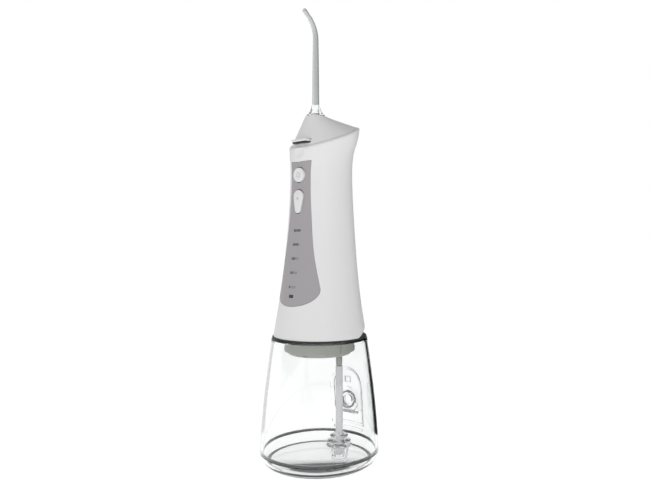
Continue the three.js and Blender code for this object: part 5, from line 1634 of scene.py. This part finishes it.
# ---------------------------------------------------------------- collar
@dataclass
class Collar:
    """Grey plug that closes the tank's neck, with its locking tracks and seal."""

    radius: float = 20.25
    low: float = 67.5
    flange_low: float = 79.6
    flange_top: float = 81.6
    flange_radius: float = 25.72
    wall: float = 2.75
    floor: float = 2.2
    groove_low: float = 72.8
    groove_high: float = 75.0
    groove_depth: float = 1.2
    track_count: int = 3
    track_start: float = 48.0
    track_width: float = 2.6
    track_depth: float = 1.0
    track_rise: float = 4.4

    def body(self) -> Piece:
        """Turns the collar and cuts its tracks and the stub's hole."""
        radius, low, inner = self.radius, self.low, self.radius - self.wall
        groove = radius - self.groove_depth
        piece = turned(
            "neck_collar",
            [
                (0, low), (radius - 1.3, low), (radius - 0.8, low + 0.25), (radius - 0.3, low + 1.0),
                (radius, low + 3.0), (radius, self.groove_low), (groove, self.groove_low),
                (groove, self.groove_high), (radius, self.groove_high), (radius, self.flange_low),
                (self.flange_radius, self.flange_low), (self.flange_radius, self.flange_top),
                (inner, self.flange_top), (inner, low + self.floor), (0, low + self.floor),
            ],
        )
        face, half, top = radius - self.track_depth, self.track_width / 2, low + self.track_rise
        for i in range(self.track_count):
            entry = block("entry", (face, -half, low - 1), (face + 5, half, top))
            run = turned("run", square(face, face + 5, top - 1.8, top), closed=True)
            cut(run, Cut.KEEP, block("limit", (10, 0, low), (40, 11, low + 10)))
            cut(entry, Cut.JOIN, run)
            cut(piece, Cut.AWAY, spun(entry, (0, 0, self.track_start + i * 360 / self.track_count)))
        line = SuctionLine()
        hole = bar("hole", line.stub_radius + GAP, low - 1, low + 10, Axis.UPRIGHT, (line.across, line.deep, 0))
        return cut(piece, Cut.AWAY, hole)

    def ring(self) -> Piece:
        """Turns the round seal in the collar's groove."""
        inner, outer = self.radius - self.groove_depth + 0.05, 20.75
        middle, half = (inner + outer) / 2, (outer - inner) / 2
        profile = arc((middle, (self.groove_low + self.groove_high) / 2), half, 0, 360, 16)[:-1]
        return turned("collar_seal", profile, closed=True)

    def build(self) -> None:
        """Makes the collar and its seal."""
        deliver(self.body(), "handle", COLLAR_GREY, "collar", "collar")
        deliver(self.ring(), "handle", DARK_RUBBER, "dark_rubber", "collar_oring")


# ---------------------------------------------------------------- nozzle
@dataclass
class Nozzle:
    """Clear bent nozzle on its turning seat."""

    seat_height: float = 136.1
    forward: float = 3.5
    plug: float = 2.95
    plug_bottom: float = 117.6
    water: float = 1.5
    rim: float = 5.7
    rim_height: float = 0.8
    stem: float = 2.25
    tip: float = 1.3
    flare_top: float = 144.2
    bend_start: float = 184.6
    bend_radius: float = 16.0
    bend_angle: float = 52.0
    tail: float = 5.2
    groove_height: float = 122.0
    groove_depth: float = 0.7
    groove_tall: float = 1.6
    sides: int = 48
    bends: int = 20

    def stations(self) -> list[tuple[float, float, float, float]]:
        """Y, height, tilt and radius up the nozzle's centre line."""
        seat, stem, groove = self.seat_height + GAP, self.stem, self.groove_height
        narrow = self.plug - self.groove_depth
        straight = [
            (self.plug_bottom, self.plug - 0.3), (self.plug_bottom + 1, self.plug), (groove, self.plug),
            (groove, narrow), (groove + self.groove_tall, narrow), (groove + self.groove_tall, self.plug),
            (seat, self.plug), (seat, self.rim - 0.2), (seat + 0.2, self.rim),
            (seat + self.rim_height - 0.2, self.rim), (seat + self.rim_height, self.rim - 0.2),
            (seat + self.rim_height + 0.35, self.rim - 1.1), (seat + self.rim_height + 1.2, stem + 2.05),
            (seat + self.rim_height + 2.4, stem + 1.35), (self.flare_top - 2.6, stem + 0.7),
            (self.flare_top - 1.2, stem + 0.25), (self.flare_top, stem), (self.bend_start - 16, stem - 0.25),
            (self.bend_start, stem - 0.5),
        ]
        stations = [(0.0, height, 0.0, radius) for height, radius in straight]
        for i in range(1, self.bends + 1):
            angle = math.radians(self.bend_angle * i / self.bends)
            radius = stem - 0.5 - (stem - 0.5 - self.tip) * i / (self.bends + 1)
            deep = -self.bend_radius * (1 - math.cos(angle))
            height = self.bend_start + self.bend_radius * math.sin(angle)
            stations.append((deep, height, angle, radius))
        deep, height, angle, _ = stations[-1]
        for share, radius in ((0.88, self.tip), (1.0, self.tip - 0.3)):
            reach = self.tail * share
            stations.append((deep - reach * math.sin(angle), height + reach * math.cos(angle), angle, radius))
        return stations

    def ring(self, station: tuple[float, float, float, float], radius: float) -> list[Corner]:
        """A ring round the centre line at a station."""
        deep, height, angle, _ = station
        points = []
        for i in range(self.sides):
            turn = 2 * math.pi * i / self.sides
            along = radius * math.sin(turn)
            points.append((
                radius * math.cos(turn),
                deep - self.forward + along * math.cos(angle),
                height + HANDLE_BASE + along * math.sin(angle),
            ))
        return points

    def body(self) -> Piece:
        """Skins the nozzle, with its bore inside."""
        stations = self.stations()
        bored = [s for i, s in enumerate(stations) if i == 0 or s[1] > self.flare_top - 1]
        outside = [self.ring(s, s[3]) for s in stations]
        inside = [self.ring(s, min(self.water, s[3] * 0.68)) for s in reversed(bored)]
        return skinned("nozzle_tube", [*outside, *inside], closed=True)

    def build(self) -> None:
        """Makes the nozzle and its seat."""
        deliver(self.body(), "nozzle_tip", NOZZLE_CLEAR, "clear_plastic", "nozzle")
        top = self.seat_height + HANDLE_BASE
        outer, inner = 5.72, 3.35
        profile = [
            (inner, top - 2.7), (outer, top - 2.7), (outer, top - 0.2), (outer - 0.2, top), (inner + 0.2, top),
            (inner, top - 0.2),
        ]
        seat = shifted(turned("turning_seat", profile, FINE // 2, closed=True), deep=-self.forward)
        deliver(seat, "nozzle_turntable", CAP_WHITE, "cap", "nozzle_seat")


# ---------------------------------------------------------------- inner works
@dataclass
class InnerWorks:
    """The pieces inside, which keep their shape from the frame and get their finish here."""

    nodes: dict[str, bpy.types.Object]

    def finish_of(self, name: str) -> Finish:
        """The finish that an inner piece has, by its name."""
        table = {
            r".*screw.*|fill_hinge_pin|gear_axle|release_spring|plunger|motor_can|charge_socket": STEEL,
            r"battery_tab.*|motor_pinion": BRASS,
            r"battery": CELL_WRAP,
            r"drive_gear|piston_yoke": GEAR_NYLON,
            r".*board.*": BOARD,
            r".*switch": BLACK,
            r"light_guide": LIGHT_GUIDE,
            r".*oring.*|.*valve.*|piston_seal": DARK_RUBBER,
            r".*_hose": HOSE_GREY,
        }
        return next((finish for names, finish in table.items() if re.fullmatch(names, name)), FRAME_GREY)

    def build(self) -> None:
        """Gives every node that still shows its material."""
        for name, node in sorted(self.nodes.items()):
            if node.hide_render:
                continue
            node.data.materials.clear()
            node.data.materials.append(self.finish_of(name).paint())
            LOG.info("%s dressed", name)


def main() -> None:
    """Loads the frame and builds the flosser around it, piece by piece."""
    logging.basicConfig(level=logging.INFO, format="%(name)s: %(message)s")
    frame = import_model()
    stage = Stage()
    stage.aim()
    SuctionLine().build()
    Tank().build()
    Casing().build()
    Collar().build()
    Nozzle().build()
    InnerWorks(frame["nodes"]).build()
    stage.build()


if __name__ == "__main__":
    main()
